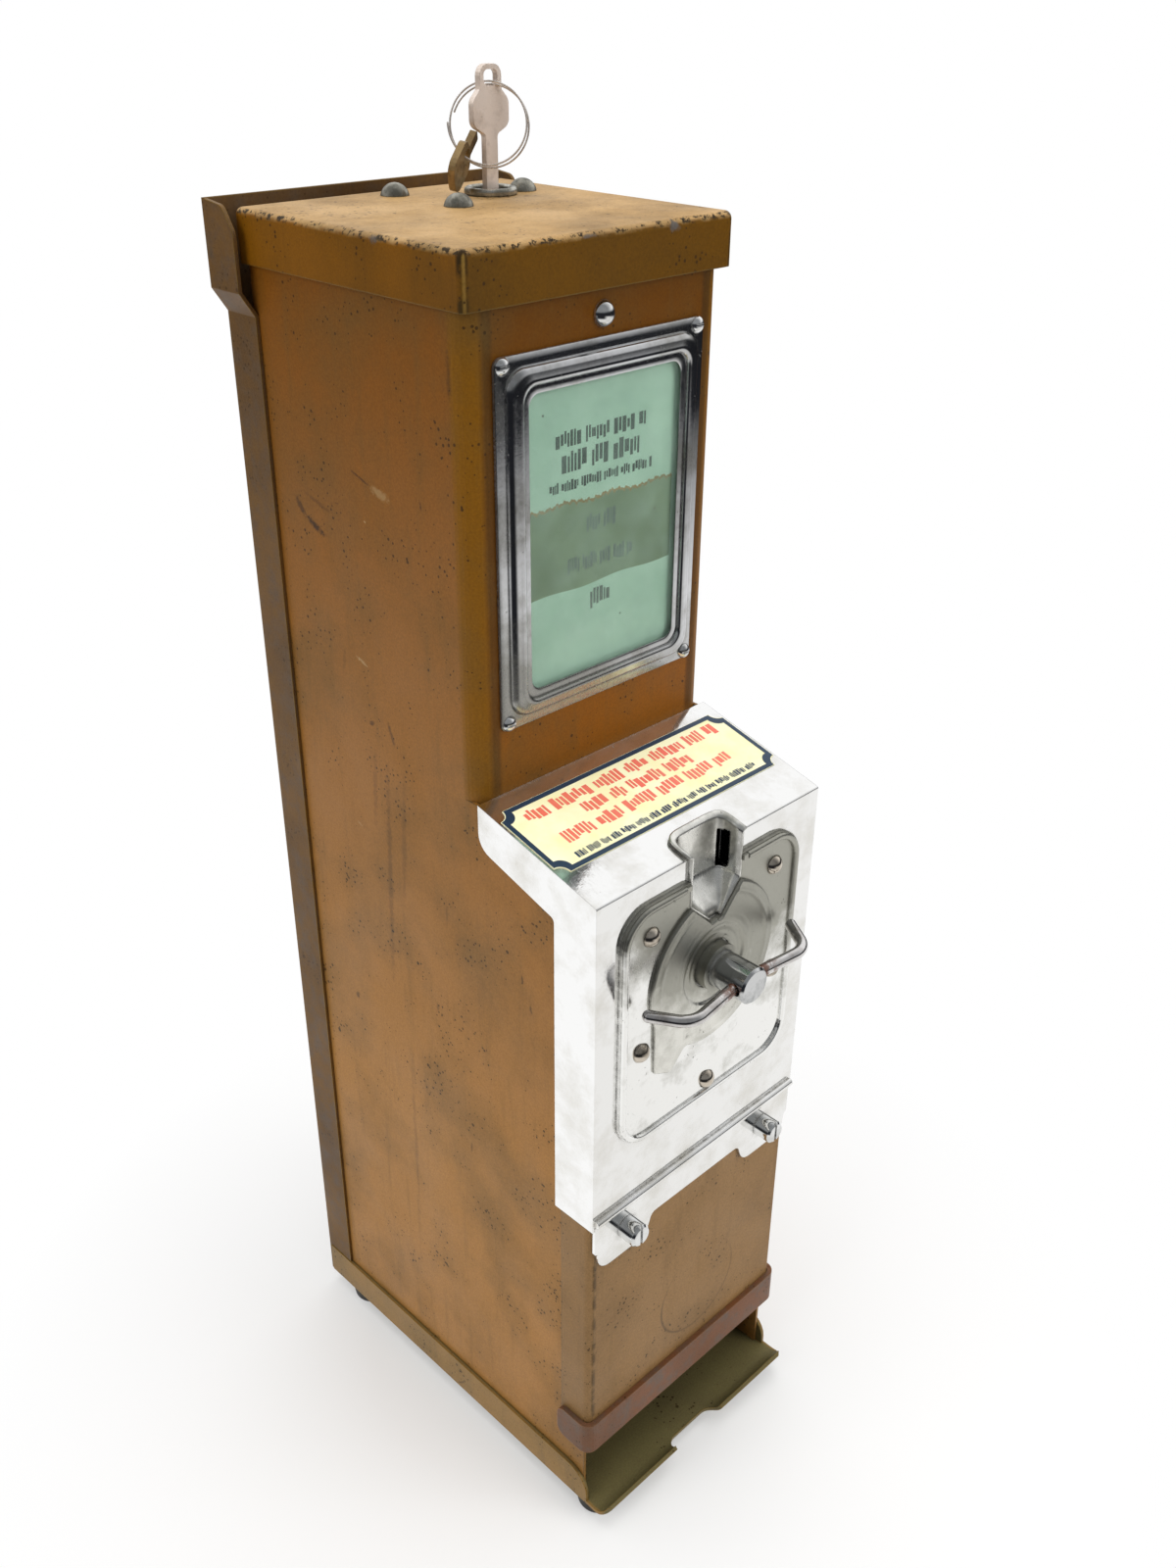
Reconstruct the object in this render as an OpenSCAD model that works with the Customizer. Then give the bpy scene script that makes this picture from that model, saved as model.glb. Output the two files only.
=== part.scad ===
// Wall-hung vending machine for folded paper packets, worked by a coin and a crank handle.
// Millimetres. X runs to the right, Y towards the wall, Z up.
// "Out" is a distance forward of the wall plane, so outlines seen from the side are drawn
// as [out, height] and outlines seen from the front as [across, height].
// The origin is the middle of the footprint, on the surface under the feet.

/* [Case] */
// Width of the case over its sides
case_w = 104; // [100:0.5:110]
// Gap between the wall plane and the back of the case
case_gap = 11.4; // [10.4:0.2:14]
// Depth of the upper case, back to front
upper_d = 101.3; // [99:0.5:108]
// How far the lower case stands in front of the upper case
step_d = 51.5; // [50:0.5:58]
// Height of the case walls above the tray floor
case_h = 450.5; // [446:0.5:470]
// Sheet thickness of the case
case_t = 1.2; // [1:0.1:1.5]
// Outer radius of the upright corners beside the sign
corner_r = 7; // [4:0.5:9]

/* [Tray and feet] */
// Height of the rubber feet
foot_h = 7.5; // [5:0.5:12]
// Diameter of the rubber feet
foot_d = 18; // [12:1:20]
// Gap between a foot's edge and the tray's outer side
foot_gap = 0.4; // [0:0.1:8]
// Distance of the front feet's middles back from the front of the lower case
foot_front_in = 2.5; // [0:0.5:16]
// Distance of the rear feet out from the wall
foot_rear_out = 18; // [14:1:30]
// Sheet thickness of the tray
tray_t = 1.5; // [1.2:0.1:2]
// Height of the tray's side walls above its floor
tray_wall_h = 13.2; // [8:0.2:20]
// Radius at the front top corner of the tray's side walls
tray_nose_r = 10; // [4:0.5:12]
// How far the tray floor runs on before its lips curl up
lip_run = 4.5; // [3:0.5:8]
// Outer radius of the curled lips
lip_r = 7; // [5:0.5:9]
// Angle that the lips curl through
lip_turn = 72; // [40:1:90]
// Width of the finger notch between the two lips
notch_w = 24; // [18:1:34]

/* [Wall bracket] */
// Sheet thickness of the wall bracket
bracket_t = 1.2; // [1:0.1:1.6]
// Depth of the bracket's side flanges, out from the wall
flange_d = 15.4; // [14.6:0.2:18]
// How far each flange steps outward to clear the lid
flare_out = 5; // [4:0.2:7]
// Height over which the flange steps outward
flare_h = 7.5; // [5:0.5:10]
// Distance from the lid's lower edge down to the foot of the step
flare_drop = 15.5; // [12:0.5:20]
// How far the bracket rises above the lid
bracket_rise = 2; // [1:0.5:6]
// Drop of the flange's rounded top at its front edge
flange_nose = 8.5; // [4:0.5:12]
// Spacing of the wall screws across the bracket
wall_hole_x = 60; // [40:1:80]
// Spacing of the wall screws up the bracket
wall_hole_z = 340; // [280:5:360]
// Radius of the wall screw holes
wall_hole_r = 2.75; // [2:0.05:3.5]

/* [Lower front panel and guard strap] */
// Sheet thickness of the lower front panel
panel_t = 1; // [0.8:0.1:1.3]
// Radius inside the panel's bends
panel_bend = 2; // [1:0.1:3]
// How far the panel's sides wrap back along the case
panel_wrap = 14.2; // [10:0.2:18]
// Height of the delivery opening above the tray floor
slot_h = 29.5; // [26:0.5:30]
// Height of the guard strap over the delivery opening
strap_h = 14.5; // [10:0.5:18]
// Thickness of the guard strap
strap_t = 2; // [1.5:0.1:3]
// How far the strap wraps back along the case
strap_wrap = 14.5; // [12:0.5:20]

/* [Front unit] */
// Sheet thickness of the bright front unit
unit_t = 1; // [0.8:0.1:1.3]
// Height of the unit's lower edge above the tray floor
unit_rise = 145; // [144:0.5:149]
// Height of the unit's front face
unit_h = 129.3; // [128:0.1:134]
// Rise of the unit's sloping top from front to back
slope_rise = 13.5; // [12.5:0.5:16]
// Depth of the unit's side flanges
unit_flange = 18.2; // [12:0.2:24]
// Drop of the side flange below the sloping top, at the front
wedge_drop = 12.3; // [10:0.1:16]
// Radius of the bead along the unit's lower edge
bead_r = 1.5; // [1:0.1:2]
// Radius of the flange's rear corner
flange_r = 7; // [4:0.5:8]

/* [Tab strip and studs] */
// Thickness of the strip below the unit
strip_t = 1.2; // [1:0.1:1.6]
// Height of the strip between the two tabs
strip_h = 12.5; // [9:0.5:14]
// Drop of the tabs below the strip
tab_drop = 9; // [7:0.5:12]
// Width of each tab
tab_w = 24; // [20:0.5:28]
// Distance of the studs from the middle
stud_x = 36.5; // [34:0.5:38]
// Diameter of the stud heads
stud_d = 8.8; // [7:0.2:10]
// How far the studs stand out of the strip
stud_out = 7.2; // [5:0.2:10]
// Diameter of the stud shanks
shank_d = 6; // [5:0.2:6.4]

/* [Coin works] */
// Width of the pressed coin plate
plate_w = 86; // [82:1:92]
// Height of the pressed coin plate
plate_h = 94; // [90:1:96]
// Corner radius of the coin plate
plate_r = 13; // [9:0.5:16]
// Thickness of the coin plate
plate_t = 1.2; // [1:0.1:1.6]
// Distance from the coin plate's lower edge up from the unit's lower edge
plate_up = 27; // [24:0.5:29]
// Width of the raised rim of the coin plate
rim_w = 2.4; // [1.6:0.1:3]
// Height of the raised rim
rim_t = 0.9; // [0.5:0.1:1.4]
// Radius of the round cover over the coin wheel
cover_r = 30; // [28:0.5:31]
// Thickness of the round cover
cover_t = 1.6; // [1.3:0.1:2.2]
// Radius of the dished middle of the cover
dish_r = 15.5; // [13:0.5:18]
// Width of the coin pocket
pocket_w = 25; // [24:0.5:26]
// Height of the coin pocket above the spindle
pocket_top = 49.3; // [48:0.1:51]
// Height of the pocket's point above the spindle
pocket_point = 17.3; // [16:0.1:19]
// Depth of the coin pocket
pocket_d = 11; // [9:0.5:12]
// Wall thickness of the coin pocket
pocket_t = 1.2; // [1:0.1:1.5]
// Radius of the coin plate's rivet heads
rivet_r = 3.5; // [2.6:0.1:4]
// Width of the coin passage inside the runway
coin_w = 23.8; // [22:0.1:24.4]
// Thickness of the coin passage inside the runway
coin_gap = 4.4; // [4.2:0.1:4.6]

/* [Handle] */
// Height of the spindle above the unit's lower edge
spindle_up = 84.2; // [83:0.1:86]
// Diameter of the spindle
spindle_d = 13; // [11:0.2:14]
// How far the spindle stands out of the unit's face
spindle_out = 19.9; // [17:0.1:24]
// Diameter of the handle wire
wire_d = 4.2; // [3.6:0.1:4.8]
// Distance of the wire from the spindle's end
wire_in = 3.4; // [3:0.1:4.5]
// Distance of each bend in the wire from the spindle's axis
grip_x = 29.7; // [26:0.1:34]
// How far the wire's ends splay beyond the bends
grip_splay = 6.4; // [3:0.1:8]
// How far the wire's ends turn back towards the plate
grip_back = 12.2; // [8:0.1:12.6]
// Radius of the bends, on the wire's middle line
grip_r = 8; // [5:0.5:10]

/* [Gears] */
// Gear module
gear_m = 2; // [2:0.01:2.04]
// Teeth on the spindle's pinion
pinion_n = 12; // [12:1:12]
// Teeth on the transfer shaft's small gear
small_n = 12; // [12:1:12]
// Teeth on the transfer shaft's large gear
large_n = 16; // [15:1:16]
// Face width of the gears
gear_w = 8; // [7:0.5:9]
// How much thinner a tooth is than half the pitch
backlash = 0.35; // [0.3:0.01:0.45]
// Thickness of the racks behind their teeth
rack_back = 7.5; // [7:0.5:8]

/* [Magazine] */
// Width inside the packet magazine
packet_w = 66; // [62:0.5:67]
// Depth inside the packet magazine
packet_d = 43; // [40:0.5:44]
// Sheet thickness of the magazine
mag_t = 1; // [0.8:0.1:1.2]
// Gap between the top of the magazine and the top of the case
mag_gap = 21.5; // [16:0.5:39]
// Height of the gap that a packet leaves through
exit_h = 7; // [6.8:0.1:8]
// Height of the follower weight
follower_h = 22; // [14:1:30]
// Thickness of the pusher plate
pusher_t = 2.2; // [1.6:0.1:2.4]
// Height of the coin box
box_h = 70; // [50:1:72]

/* [Lid and lock] */
// Sheet thickness of the lid
lid_t = 1.4; // [1.2:0.1:1.8]
// Height of the lid's rim
lid_rim = 16; // [12:0.5:20]
// Clearance between the lid and the case
lid_clear = 0.5; // [0.4:0.05:0.8]
// Radius of the lid's edges
lid_r = 2.4; // [1.5:0.1:3]
// Distance of the lock from the middle of the lid
lock_x = 22.6; // [20:0.1:24]
// Distance of the lock out from the wall
lock_out = 39.5; // [38:0.5:41]
// Radius of the lock body
lock_r = 8.5; // [8:0.1:9]
// Radius of the lock's turning plug
plug_r = 6; // [5.4:0.1:6.4]
// Height of the lock's collar above the lid
collar_h = 2.3; // [1.5:0.1:3]
// Length of the lock's cam from its axis
cam_l = 24; // [22:0.5:25]
// Radius of the lid's rivet heads
lid_rivet_r = 4.6; // [3.6:0.1:5]
// Height of the lid's rivet heads
lid_rivet_h = 3.8; // [2.5:0.1:4.5]

/* [Keys] */
// Thickness of the keys
key_t = 2.2; // [1.8:0.1:2.4]
// Width of the key's blade
blade_w = 4.8; // [4:0.1:5.2]
// Height of the key's shoulder above the lid
blade_h = 17.5; // [16:0.5:20]
// Width of the key's bow
bow_w = 14.6; // [12:0.2:16]
// Height of the key's bow
bow_h = 12.7; // [11:0.1:14]
// Height of the loop on top of the bow
loop_h = 7.1; // [6.8:0.1:8]
// Width of the loop on top of the bow
loop_w = 8.8; // [8.6:0.1:10]
// Radius of the key ring on its wire's middle line
ring_r = 12.1; // [11.8:0.1:13]
// Diameter of the key ring's wire
ring_wire = 1.3; // [1:0.1:1.4]
// Lean of the hanging ring away from the blade
ring_lean = 9; // [8.5:0.5:14]

/* [Sign] */
// Width of the sign's frame
frame_w = 85.6; // [80:0.5:88]
// Width of the sign's window
window_w = 63; // [54:0.5:66]
// Height of the frame's border above and below the window
border_h = 9.6; // [8:0.1:12]
// How far the frame stands out of the case
frame_t = 3; // [2.8:0.1:4]
// Distance from the unit's top edge up to the frame
frame_up = 21.7; // [16:0.1:26]
// Thickness of the sign's glass
glass_t = 1.6; // [1.2:0.1:1.7]
// Radius of the screw heads at the frame's corners
screw_r = 2.6; // [2:0.1:3]
// Radius of the domed bolt above the frame
bolt_r = 4; // [3:0.1:5]
// Distance from the lid's lower edge down to the domed bolt
bolt_drop = 7; // [6:0.5:9]
// Gap between the domed bolt and the sign's frame
bolt_gap = 2.25; // [1:0.05:4]
// Length of the label down the slope
label_l = 31.6; // [26:0.2:34]
// Space left on each side of the label
label_side = 1; // [0.5:0.1:4]

/* [Fits] */
// Gap between sheets and seats that rest on each other
seat = 0.05; // [0.02:0.01:0.1]
// Radial gap of a running fit
run = 0.05; // [0.02:0.01:0.09]
// Gap beside pieces that slide past each other
slide = 0.3; // [0.25:0.05:0.4]

/* [Hidden] */
$fn = 48;
// Every node, in the order in which the pieces are put together.
// The node to draw, or "all".

// Colours.
bronze = "#8a5e30";
bracket_brown = "#6d4a2e";
tray_green = "#5c5636";
strap_brown = "#6b4536";
chrome = "#c9ccd0";
nickel = "#8f8d86";
steel = "#9a9a98";
brass = "#a88f5c";
rubber = "#1c1b1a";

// Heights.
floor_z = foot_h + tray_t;
case_top = floor_z + case_h;
lid_top = case_top + seat + lid_t;
lid_bottom = lid_top - lid_rim;
slot_top = floor_z + slot_h;
unit_bottom = floor_z + unit_rise;
unit_top = unit_bottom + unit_h;
slope_top = unit_top + slope_rise;
spindle_z = unit_bottom + spindle_up;
plate_bottom = unit_bottom + plate_up;
frame_bottom = slope_top + frame_up;
stud_z = unit_bottom - 10;
bolt_z = lid_bottom - bolt_drop;
frame_h = bolt_z - bolt_r - bolt_gap - frame_bottom;
frame_mid = frame_bottom + frame_h / 2;
window_h = frame_h - 2 * border_h;

// Distances out from the wall.
upper_front = case_gap + upper_d;
lower_front = upper_front + step_d;
panel_back = lower_front - panel_t;
side_front = panel_back - panel_bend;
unit_back = lower_front + seat;
unit_front = unit_back + unit_t;
plate_back = unit_front + seat;
plate_front = plate_back + plate_t;
cover_back = plate_front + seat;
cover_front = cover_back + cover_t;
spindle_end = unit_front + spindle_out;
wire_out = spindle_end - wire_in;
strip_back = lower_front + seat;
strip_front = strip_back + strip_t;
origin_out = spindle_end / 2;

// Half widths.
case_half = case_w / 2;
inner_half = case_half - case_t;
wrap_in = case_half + seat;
unit_half = wrap_in + unit_t;
panel_half = wrap_in + panel_t;
tray_half = case_half + 2 * seat + tray_t;
bracket_in = case_half + 2 * seat;
bracket_half = bracket_in + bracket_t;
lid_half = case_half + lid_clear + lid_t;

// The unit's sloping top.
slope_run = unit_front - upper_front - seat;
slope_angle = atan2(slope_rise, slope_run);
slope_drop_t = unit_t / cos(slope_angle);
function slope_z(out) = slope_top - (out - upper_front - seat) * tan(slope_angle);

// Gears. The pinion lifts the rack bar, whose lower teeth turn the transfer shaft.
pressure = 25;
addendum = 0.9 * gear_m;
dedendum = 1.25 * gear_m;
pitch = PI * gear_m;
pinion_r = gear_m * pinion_n / 2;
small_r = gear_m * small_n / 2;
large_r = gear_m * large_n / 2;
handle_turn = 110;
rack_travel = pinion_r * handle_turn * PI / 180;
push_travel = rack_travel * large_r / small_r;
rack_out = upper_front + 15.3;
rack_front = rack_out + gear_w;
bar_right = -pinion_r - dedendum;
bar_left = bar_right - rack_back;
transfer_out = rack_out - dedendum - small_r;
mesh_reach = 1.3 * pitch;

// The magazine, its shelf and the pusher under it.
shelf_t = 1.5;
shelf_z = slot_top + shelf_t;
mag_front = transfer_out - small_r - addendum - 2.7;
mag_back = mag_front - packet_d - 2 * mag_t;
mag_half = packet_w / 2 + mag_t;
mag_top = case_top - mag_gap;
push_front = mag_back - 0.5;
push_left = -inner_half + 4.8;
push_right = push_left + rack_back;
pusher_z = shelf_z + slide;
push_bar_z = pusher_z + 5.7;
push_pitch_z = push_bar_z + rack_back + 4 + dedendum;
transfer_z = push_pitch_z + large_r;
bar_bottom = transfer_z - rack_travel - mesh_reach;
bar_top = spindle_z + 1.9 * pitch + 3;
small_left = bar_left - 0.5;
small_w = rack_back + 1;
shaft_r = 3;
cheek_t = 2;
cheek_right = bar_right + 4;
cheek_left = -mag_half + 0.4;

// The lock and its key.
plug_top = lid_top - 3;
barrel_bottom = lid_top - 23;
cam_t = 2;
cam_z = barrel_bottom - slide - cam_t;
key_bottom = barrel_bottom + 2;
shoulder_z = lid_top + blade_h;
bow_top = shoulder_z + bow_h;
loop_top = bow_top + loop_h;
loop_wall = 1.5;
hole_bottom = bow_top + loop_wall - 0.4;
hang_z = hole_bottom + slide + ring_wire / 2;
lid_rivets = [[-2.2, 22], [-2.7, 53.6], [36.2, 39.6]];

// --- Outlines and common shapes ---

function unit_vector(v) = v / norm(v);

// Points of an arc that rounds the corner at b between a and c with radius r.
function corner_arc(a, b, c, r, steps = 6) =
    let (u = unit_vector(a - b), w = unit_vector(c - b))
    let (half = acos(u * w) / 2, p = b + u * r / tan(half), q = b + w * r / tan(half))
    let (m = b + unit_vector(u + w) * r / sin(half))
    let (from = atan2(p.y - m.y, p.x - m.x), to = atan2(q.y - m.y, q.x - m.x))
    let (raw = to - from, turn = raw > 180 ? raw - 360 : raw < -180 ? raw + 360 : raw)
    [for (i = [0:steps]) m + r * [cos(from + turn * i / steps), sin(from + turn * i / steps)]];

// An outline with each corner rounded by its own radius, where 0 keeps it sharp.
function rounded(points, radii, steps = 6) =
    let (n = len(points))
    [for (i = [0:n - 1]) each radii[i] > 0
        ? corner_arc(points[(i + n - 1) % n], points[i], points[(i + 1) % n], radii[i], steps)
        : [points[i]]];

// A rectangle from lo to hi with the same radius at each corner.
function rounded_box(lo, hi, r, steps = 6) =
    rounded([lo, [hi.x, lo.y], hi, [lo.x, hi.y]], [r, r, r, r], steps);

// A mirrored outline, for the other side of the machine.
module both_sides() {
    children();
    mirror([1, 0, 0]) children();
}

// Moves pieces that are drawn from the wall plane to the part's own origin.
module from_wall() {
    translate([0, origin_out, 0]) children();
}

// Thickens an outline seen from the front, from "out" forward by t.
module front_sheet(out, t) {
    translate([0, -out, 0]) rotate([90, 0, 0]) linear_extrude(t) children();
}

// Thickens an outline seen from the side, between x_lo and x_hi.
module side_sheet(x_lo, x_hi) {
    translate([x_hi, 0, 0]) rotate([90, 0, -90]) linear_extrude(x_hi - x_lo) children();
}

// A block between two corners given as [x, out, z].
module block(lo, hi) {
    translate([lo.x, -hi.y, lo.z]) cube([hi.x - lo.x, hi.y - lo.y, hi.z - lo.z]);
}

// A cylinder along Y at [x, z], from one distance out to another.
module pin_y(at, from, to, r) {
    translate([at.x, -from, at.y]) rotate([90, 0, 0]) cylinder(r = r, h = to - from);
}

// A cylinder along X at [out, z].
module pin_x(at, x_lo, x_hi, r) {
    translate([x_lo, -at.x, at.y]) rotate([0, 90, 0]) cylinder(r = r, h = x_hi - x_lo);
}

// A spherical cap of radius r and height h, flat side down.
module cap(r, h) {
    ball = (r * r + h * h) / (2 * h);
    intersection() {
        translate([0, 0, h - ball]) sphere(ball);
        cylinder(r = r + 1, h = h + 1);
    }
}

// A cap whose flat side lies at "out", facing forward, at [x, z].
module front_cap(at, out, r, h) {
    translate([at.x, -out, at.y]) rotate([90, 0, 0]) cap(r, h);
}

// The involute function of an angle, in degrees.
function inv(a) = tan(a) * 180 / PI - a;

// Half the angle of a tooth at radius r on a gear of n teeth.
function half_tooth(n, r) =
    let (rp = gear_m * n / 2, rb = rp * cos(pressure))
    90 / n - backlash / rp * 90 / PI + inv(pressure) - (r > rb ? inv(acos(rb / r)) : 0);

// The outline of a gear with a gap on each multiple of its pitch angle.
function gear_points(n) =
    let (rp = gear_m * n / 2, rb = rp * cos(pressure), tip = rp + addendum)
    let (root = rp - dedendum, steps = 5)
    let (radii = [root, for (i = [0:steps]) max(rb, root) + (tip - max(rb, root)) * i / steps])
    [for (k = [0:n - 1]) let (mid = (k + 0.5) * 360 / n) each [
        for (r = radii) r * [cos(mid - half_tooth(n, r)), sin(mid - half_tooth(n, r))],
        for (i = [len(radii) - 1:-1:0])
            let (r = radii[i]) r * [cos(mid + half_tooth(n, r)), sin(mid + half_tooth(n, r))]
    ]];

// One rack tooth as [height over the root line, place along the rack], at its middle m.
function rack_tooth(m) =
    let (at_pitch = pitch / 4 - backlash / 2, flare = tan(pressure))
    let (foot = at_pitch + dedendum * flare, tip = at_pitch - addendum * flare)
    [[-1, m - foot], [0, m - foot], [dedendum + addendum, m - tip],
     [dedendum + addendum, m + tip], [0, m + foot], [-1, m + foot]];

// --- Bracket, tray and feet ---

module wall_bracket() {
    step_z = lid_bottom - flare_drop;
    top = lid_top + bracket_rise;
    low = floor_z + tray_wall_h + slide;
    wide = bracket_half + flare_out;
    mid_z = lid_top / 2;
    // The step's outer face, and its inner face one sheet further in.
    outer = [[bracket_half, low], [bracket_half, step_z], [wide, step_z + flare_h], [wide, top]];
    inner = [for (i = [3:-1:0]) outer[i] - [bracket_t, i == 1 ? -0.3 : i == 2 ? -0.3 : 0]];
    nose = [[0, low], [flange_d, low], [flange_d, top - flange_nose],
            [flange_d - 5, top - 1.2], [0, top]];
    color(bracket_brown) from_wall() difference() {
        union() {
            both_sides() front_sheet(0, bracket_t) polygon([[0, foot_h], [bracket_half, foot_h],
                [bracket_half, step_z], [wide, step_z + flare_h], [wide, top], [0, top]]);
            both_sides() intersection() {
                front_sheet(0, flange_d) polygon([each outer, each inner]);
                side_sheet(0, wide + 1) polygon(rounded(nose, [0, 0, 4, 4, 0]));
            }
        }
        for (x = [-wall_hole_x / 2, wall_hole_x / 2], z = [-wall_hole_z / 2, wall_hole_z / 2])
            pin_y([x, mid_z + z], -1, bracket_t + 1, wall_hole_r);
    }
}

module tray() {
    back = bracket_t + seat;
    curl = lower_front + lip_run;
    centre = [curl, foot_h + lip_r];
    lip_in = lip_r - tray_t;
    arc = [for (i = [0:8]) lip_turn * i / 8];
    lip = [[lower_front - 1, foot_h], each [for (a = arc) centre + lip_r * [sin(a), -cos(a)]],
           each [for (i = [8:-1:0]) centre + lip_in * [sin(arc[i]), -cos(arc[i])]],
           [lower_front - 1, floor_z]];
    wall = [[back, foot_h], [lower_front, foot_h], [lower_front, floor_z + tray_wall_h],
            [back, floor_z + tray_wall_h]];
    front = curl + lip_r;
    color(tray_green) from_wall() {
        block([-tray_half, back, foot_h], [tray_half, lower_front, floor_z]);
        both_sides() side_sheet(tray_half - tray_t, tray_half)
            polygon(rounded(wall, [0, 0, tray_nose_r, 0]));
        difference() {
            side_sheet(-tray_half, tray_half) polygon(lip);
            translate([0, 0, foot_h - 1]) linear_extrude(lip_r + 2) polygon(rounded(
                [[-notch_w / 2 - 4, -front - 9], [-notch_w / 2, -lower_front - 4.5],
                 [notch_w / 2, -lower_front - 4.5], [notch_w / 2 + 4, -front - 9]],
                [0, 5, 5, 0]));
            both_sides() translate([0, 0, foot_h - 1]) linear_extrude(lip_r + 2) polygon([
                [tray_half + 1, -curl], [tray_half + 1, -front - 1], [tray_half - 9, -front - 1],
                each corner_arc([tray_half - 9, -front], [tray_half, -front],
                                [tray_half, -curl], 6)]);
        }
    }
}

// The middles of the four feet, as [x, out].
foot_x = tray_half - foot_gap - foot_d / 2;
foot_front_out = lower_front - foot_front_in;
module foot(x, out) {
    soft = 2;
    taper = 1;
    profile = rounded([[0, 0], [foot_d / 2 - taper, 0], [foot_d / 2, foot_h - seat],
                       [0, foot_h - seat]], [0, soft, 0, 0]);
    color(rubber) from_wall() translate([x, -out, 0]) rotate_extrude() polygon(profile);
}

// --- Case ---

module case_shell() {
    r_in = corner_r - case_t;
    ring_z = unit_top - 4;
    low = floor_z + seat;
    side_top = slope_z(upper_front) - slope_drop_t - seat;
    side = [[case_gap, low], [side_front, low],
            [side_front, slope_z(side_front) - slope_drop_t - seat],
            [upper_front, side_top], [case_gap, side_top]];
    color(bronze) from_wall() difference() {
        union() {
            translate([0, 0, ring_z]) linear_extrude(case_top - ring_z) difference() {
                polygon(rounded([[-case_half, -case_gap], [case_half, -case_gap],
                    [case_half, -upper_front], [-case_half, -upper_front]],
                    [2, 2, corner_r, corner_r], 8));
                polygon(rounded([[-inner_half, -case_gap - case_t],
                    [inner_half, -case_gap - case_t], [inner_half, -upper_front + case_t],
                    [-inner_half, -upper_front + case_t]], [0, 0, r_in, r_in], 8));
            }
            both_sides() side_sheet(inner_half, case_half) polygon(side);
            block([-case_half, case_gap, low], [case_half, case_gap + case_t, ring_z + 1]);
        }
        for (at = sign_screw_places()) pin_y(at, upper_front - 3, upper_front + 1, 1.45);
        pin_y([0, bolt_z], upper_front - 3, upper_front + 1, 2.05);
    }
}

module lower_panel() {
    tall = unit_bottom - 2 - slot_top;
    back = lower_front - panel_wrap;
    color(bronze) from_wall() difference() {
        union() {
            translate([0, 0, slot_top]) linear_extrude(tall) difference() {
                polygon(rounded([[-panel_half, -back], [panel_half, -back],
                    [panel_half, -lower_front], [-panel_half, -lower_front]],
                    [0, 0, panel_bend + panel_t, panel_bend + panel_t]));
                polygon(rounded([[-wrap_in, -back + 1], [wrap_in, -back + 1],
                    [wrap_in, -panel_back], [-wrap_in, -panel_back]],
                    [0, 0, panel_bend, panel_bend]));
            }
            block([-inner_half, panel_back, slot_top],
                  [inner_half, lower_front, unit_bottom + 4]);
        }
        both_sides() pin_y([stud_x, stud_z], panel_back - 1, lower_front + 1,
                           shank_d / 2 + run);
    }
}

module guard_strap() {
    half_in = panel_half + seat;
    half_out = half_in + strap_t;
    front = lower_front + seat + strap_t;
    back = lower_front - strap_wrap;
    color(strap_brown) from_wall() intersection() {
        translate([0, 0, slot_top]) linear_extrude(strap_h) difference() {
            polygon(rounded([[-half_out, -back], [half_out, -back], [half_out, -front],
                             [-half_out, -front]], [0, 0, 4.5, 4.5]));
            polygon(rounded([[-half_in, -back + 1], [half_in, -back + 1],
                [half_in, -lower_front - seat], [-half_in, -lower_front - seat]],
                [0, 0, 2.5, 2.5]));
        }
        side_sheet(-half_out - 1, half_out + 1)
            polygon(rounded_box([back, slot_top], [front + 6, slot_top + strap_h], 4));
    }
}

// --- Front unit ---

module unit_housing() {
    rear = upper_front + seat;
    flange = unit_front - unit_flange;
    wedge_z = unit_top - wedge_drop;
    rear_z = wedge_z + (flange - rear) * tan(slope_angle) * 1.22;
    outline = [[rear, slope_top], [unit_front, unit_top], [unit_front, unit_bottom - 2],
               [flange, unit_bottom - 2], [flange, wedge_z], [rear, rear_z]];
    inside_front = unit_front - unit_t;
    inside = [[rear - 2, slope_z(rear - 2) - slope_drop_t],
              [inside_front, slope_z(inside_front) - slope_drop_t],
              [inside_front, unit_bottom - 3], [rear - 2, unit_bottom - 3]];
    color(chrome) from_wall() {
        difference() {
            side_sheet(-unit_half, unit_half)
                polygon(rounded(outline, [0, 0.8, 0, 0, 2, flange_r]));
            side_sheet(-wrap_in, wrap_in) polygon(inside);
            front_sheet(pocket_back - seat, 2 * pocket_d) polygon(pocket_outline(seat));
            pin_y([0, spindle_z], inside_front - 1, unit_front + 1, bushing_r + seat);
            for (at = plate_rivet_places()) pin_y(at, inside_front - 1, unit_front + 1, 1.65);
            block([-wrap_in, inside_front - 1, unit_bottom - 3],
                  [wrap_in, unit_front + 1, unit_bottom]);
        }
        pin_x([unit_back + bead_r + 0.05, unit_bottom + bead_r],
              -unit_half + 1, unit_half - 1, bead_r);
    }
}

module tab_strip() {
    top = unit_bottom - 0.5;
    low = top - strip_h;
    foot = low - tab_drop;
    outer = unit_half - 1;
    inner = stud_x - tab_w / 2 + 2;
    tab_out = inner + tab_w;
    half = [[0, top], [outer, top], [outer, low], [tab_out, low - 1], [tab_out, foot],
            [inner, foot], [inner - 3, low], [0, low]];
    color(chrome) from_wall() difference() {
        both_sides() front_sheet(strip_back, strip_t)
            polygon(rounded(half, [0, 0, 1, 0.8, 6, 6, 3, 0]));
        both_sides() pin_y([stud_x, stud_z], strip_back - 1, strip_front + 1,
                           shank_d / 2 + run);
    }
}

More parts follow.
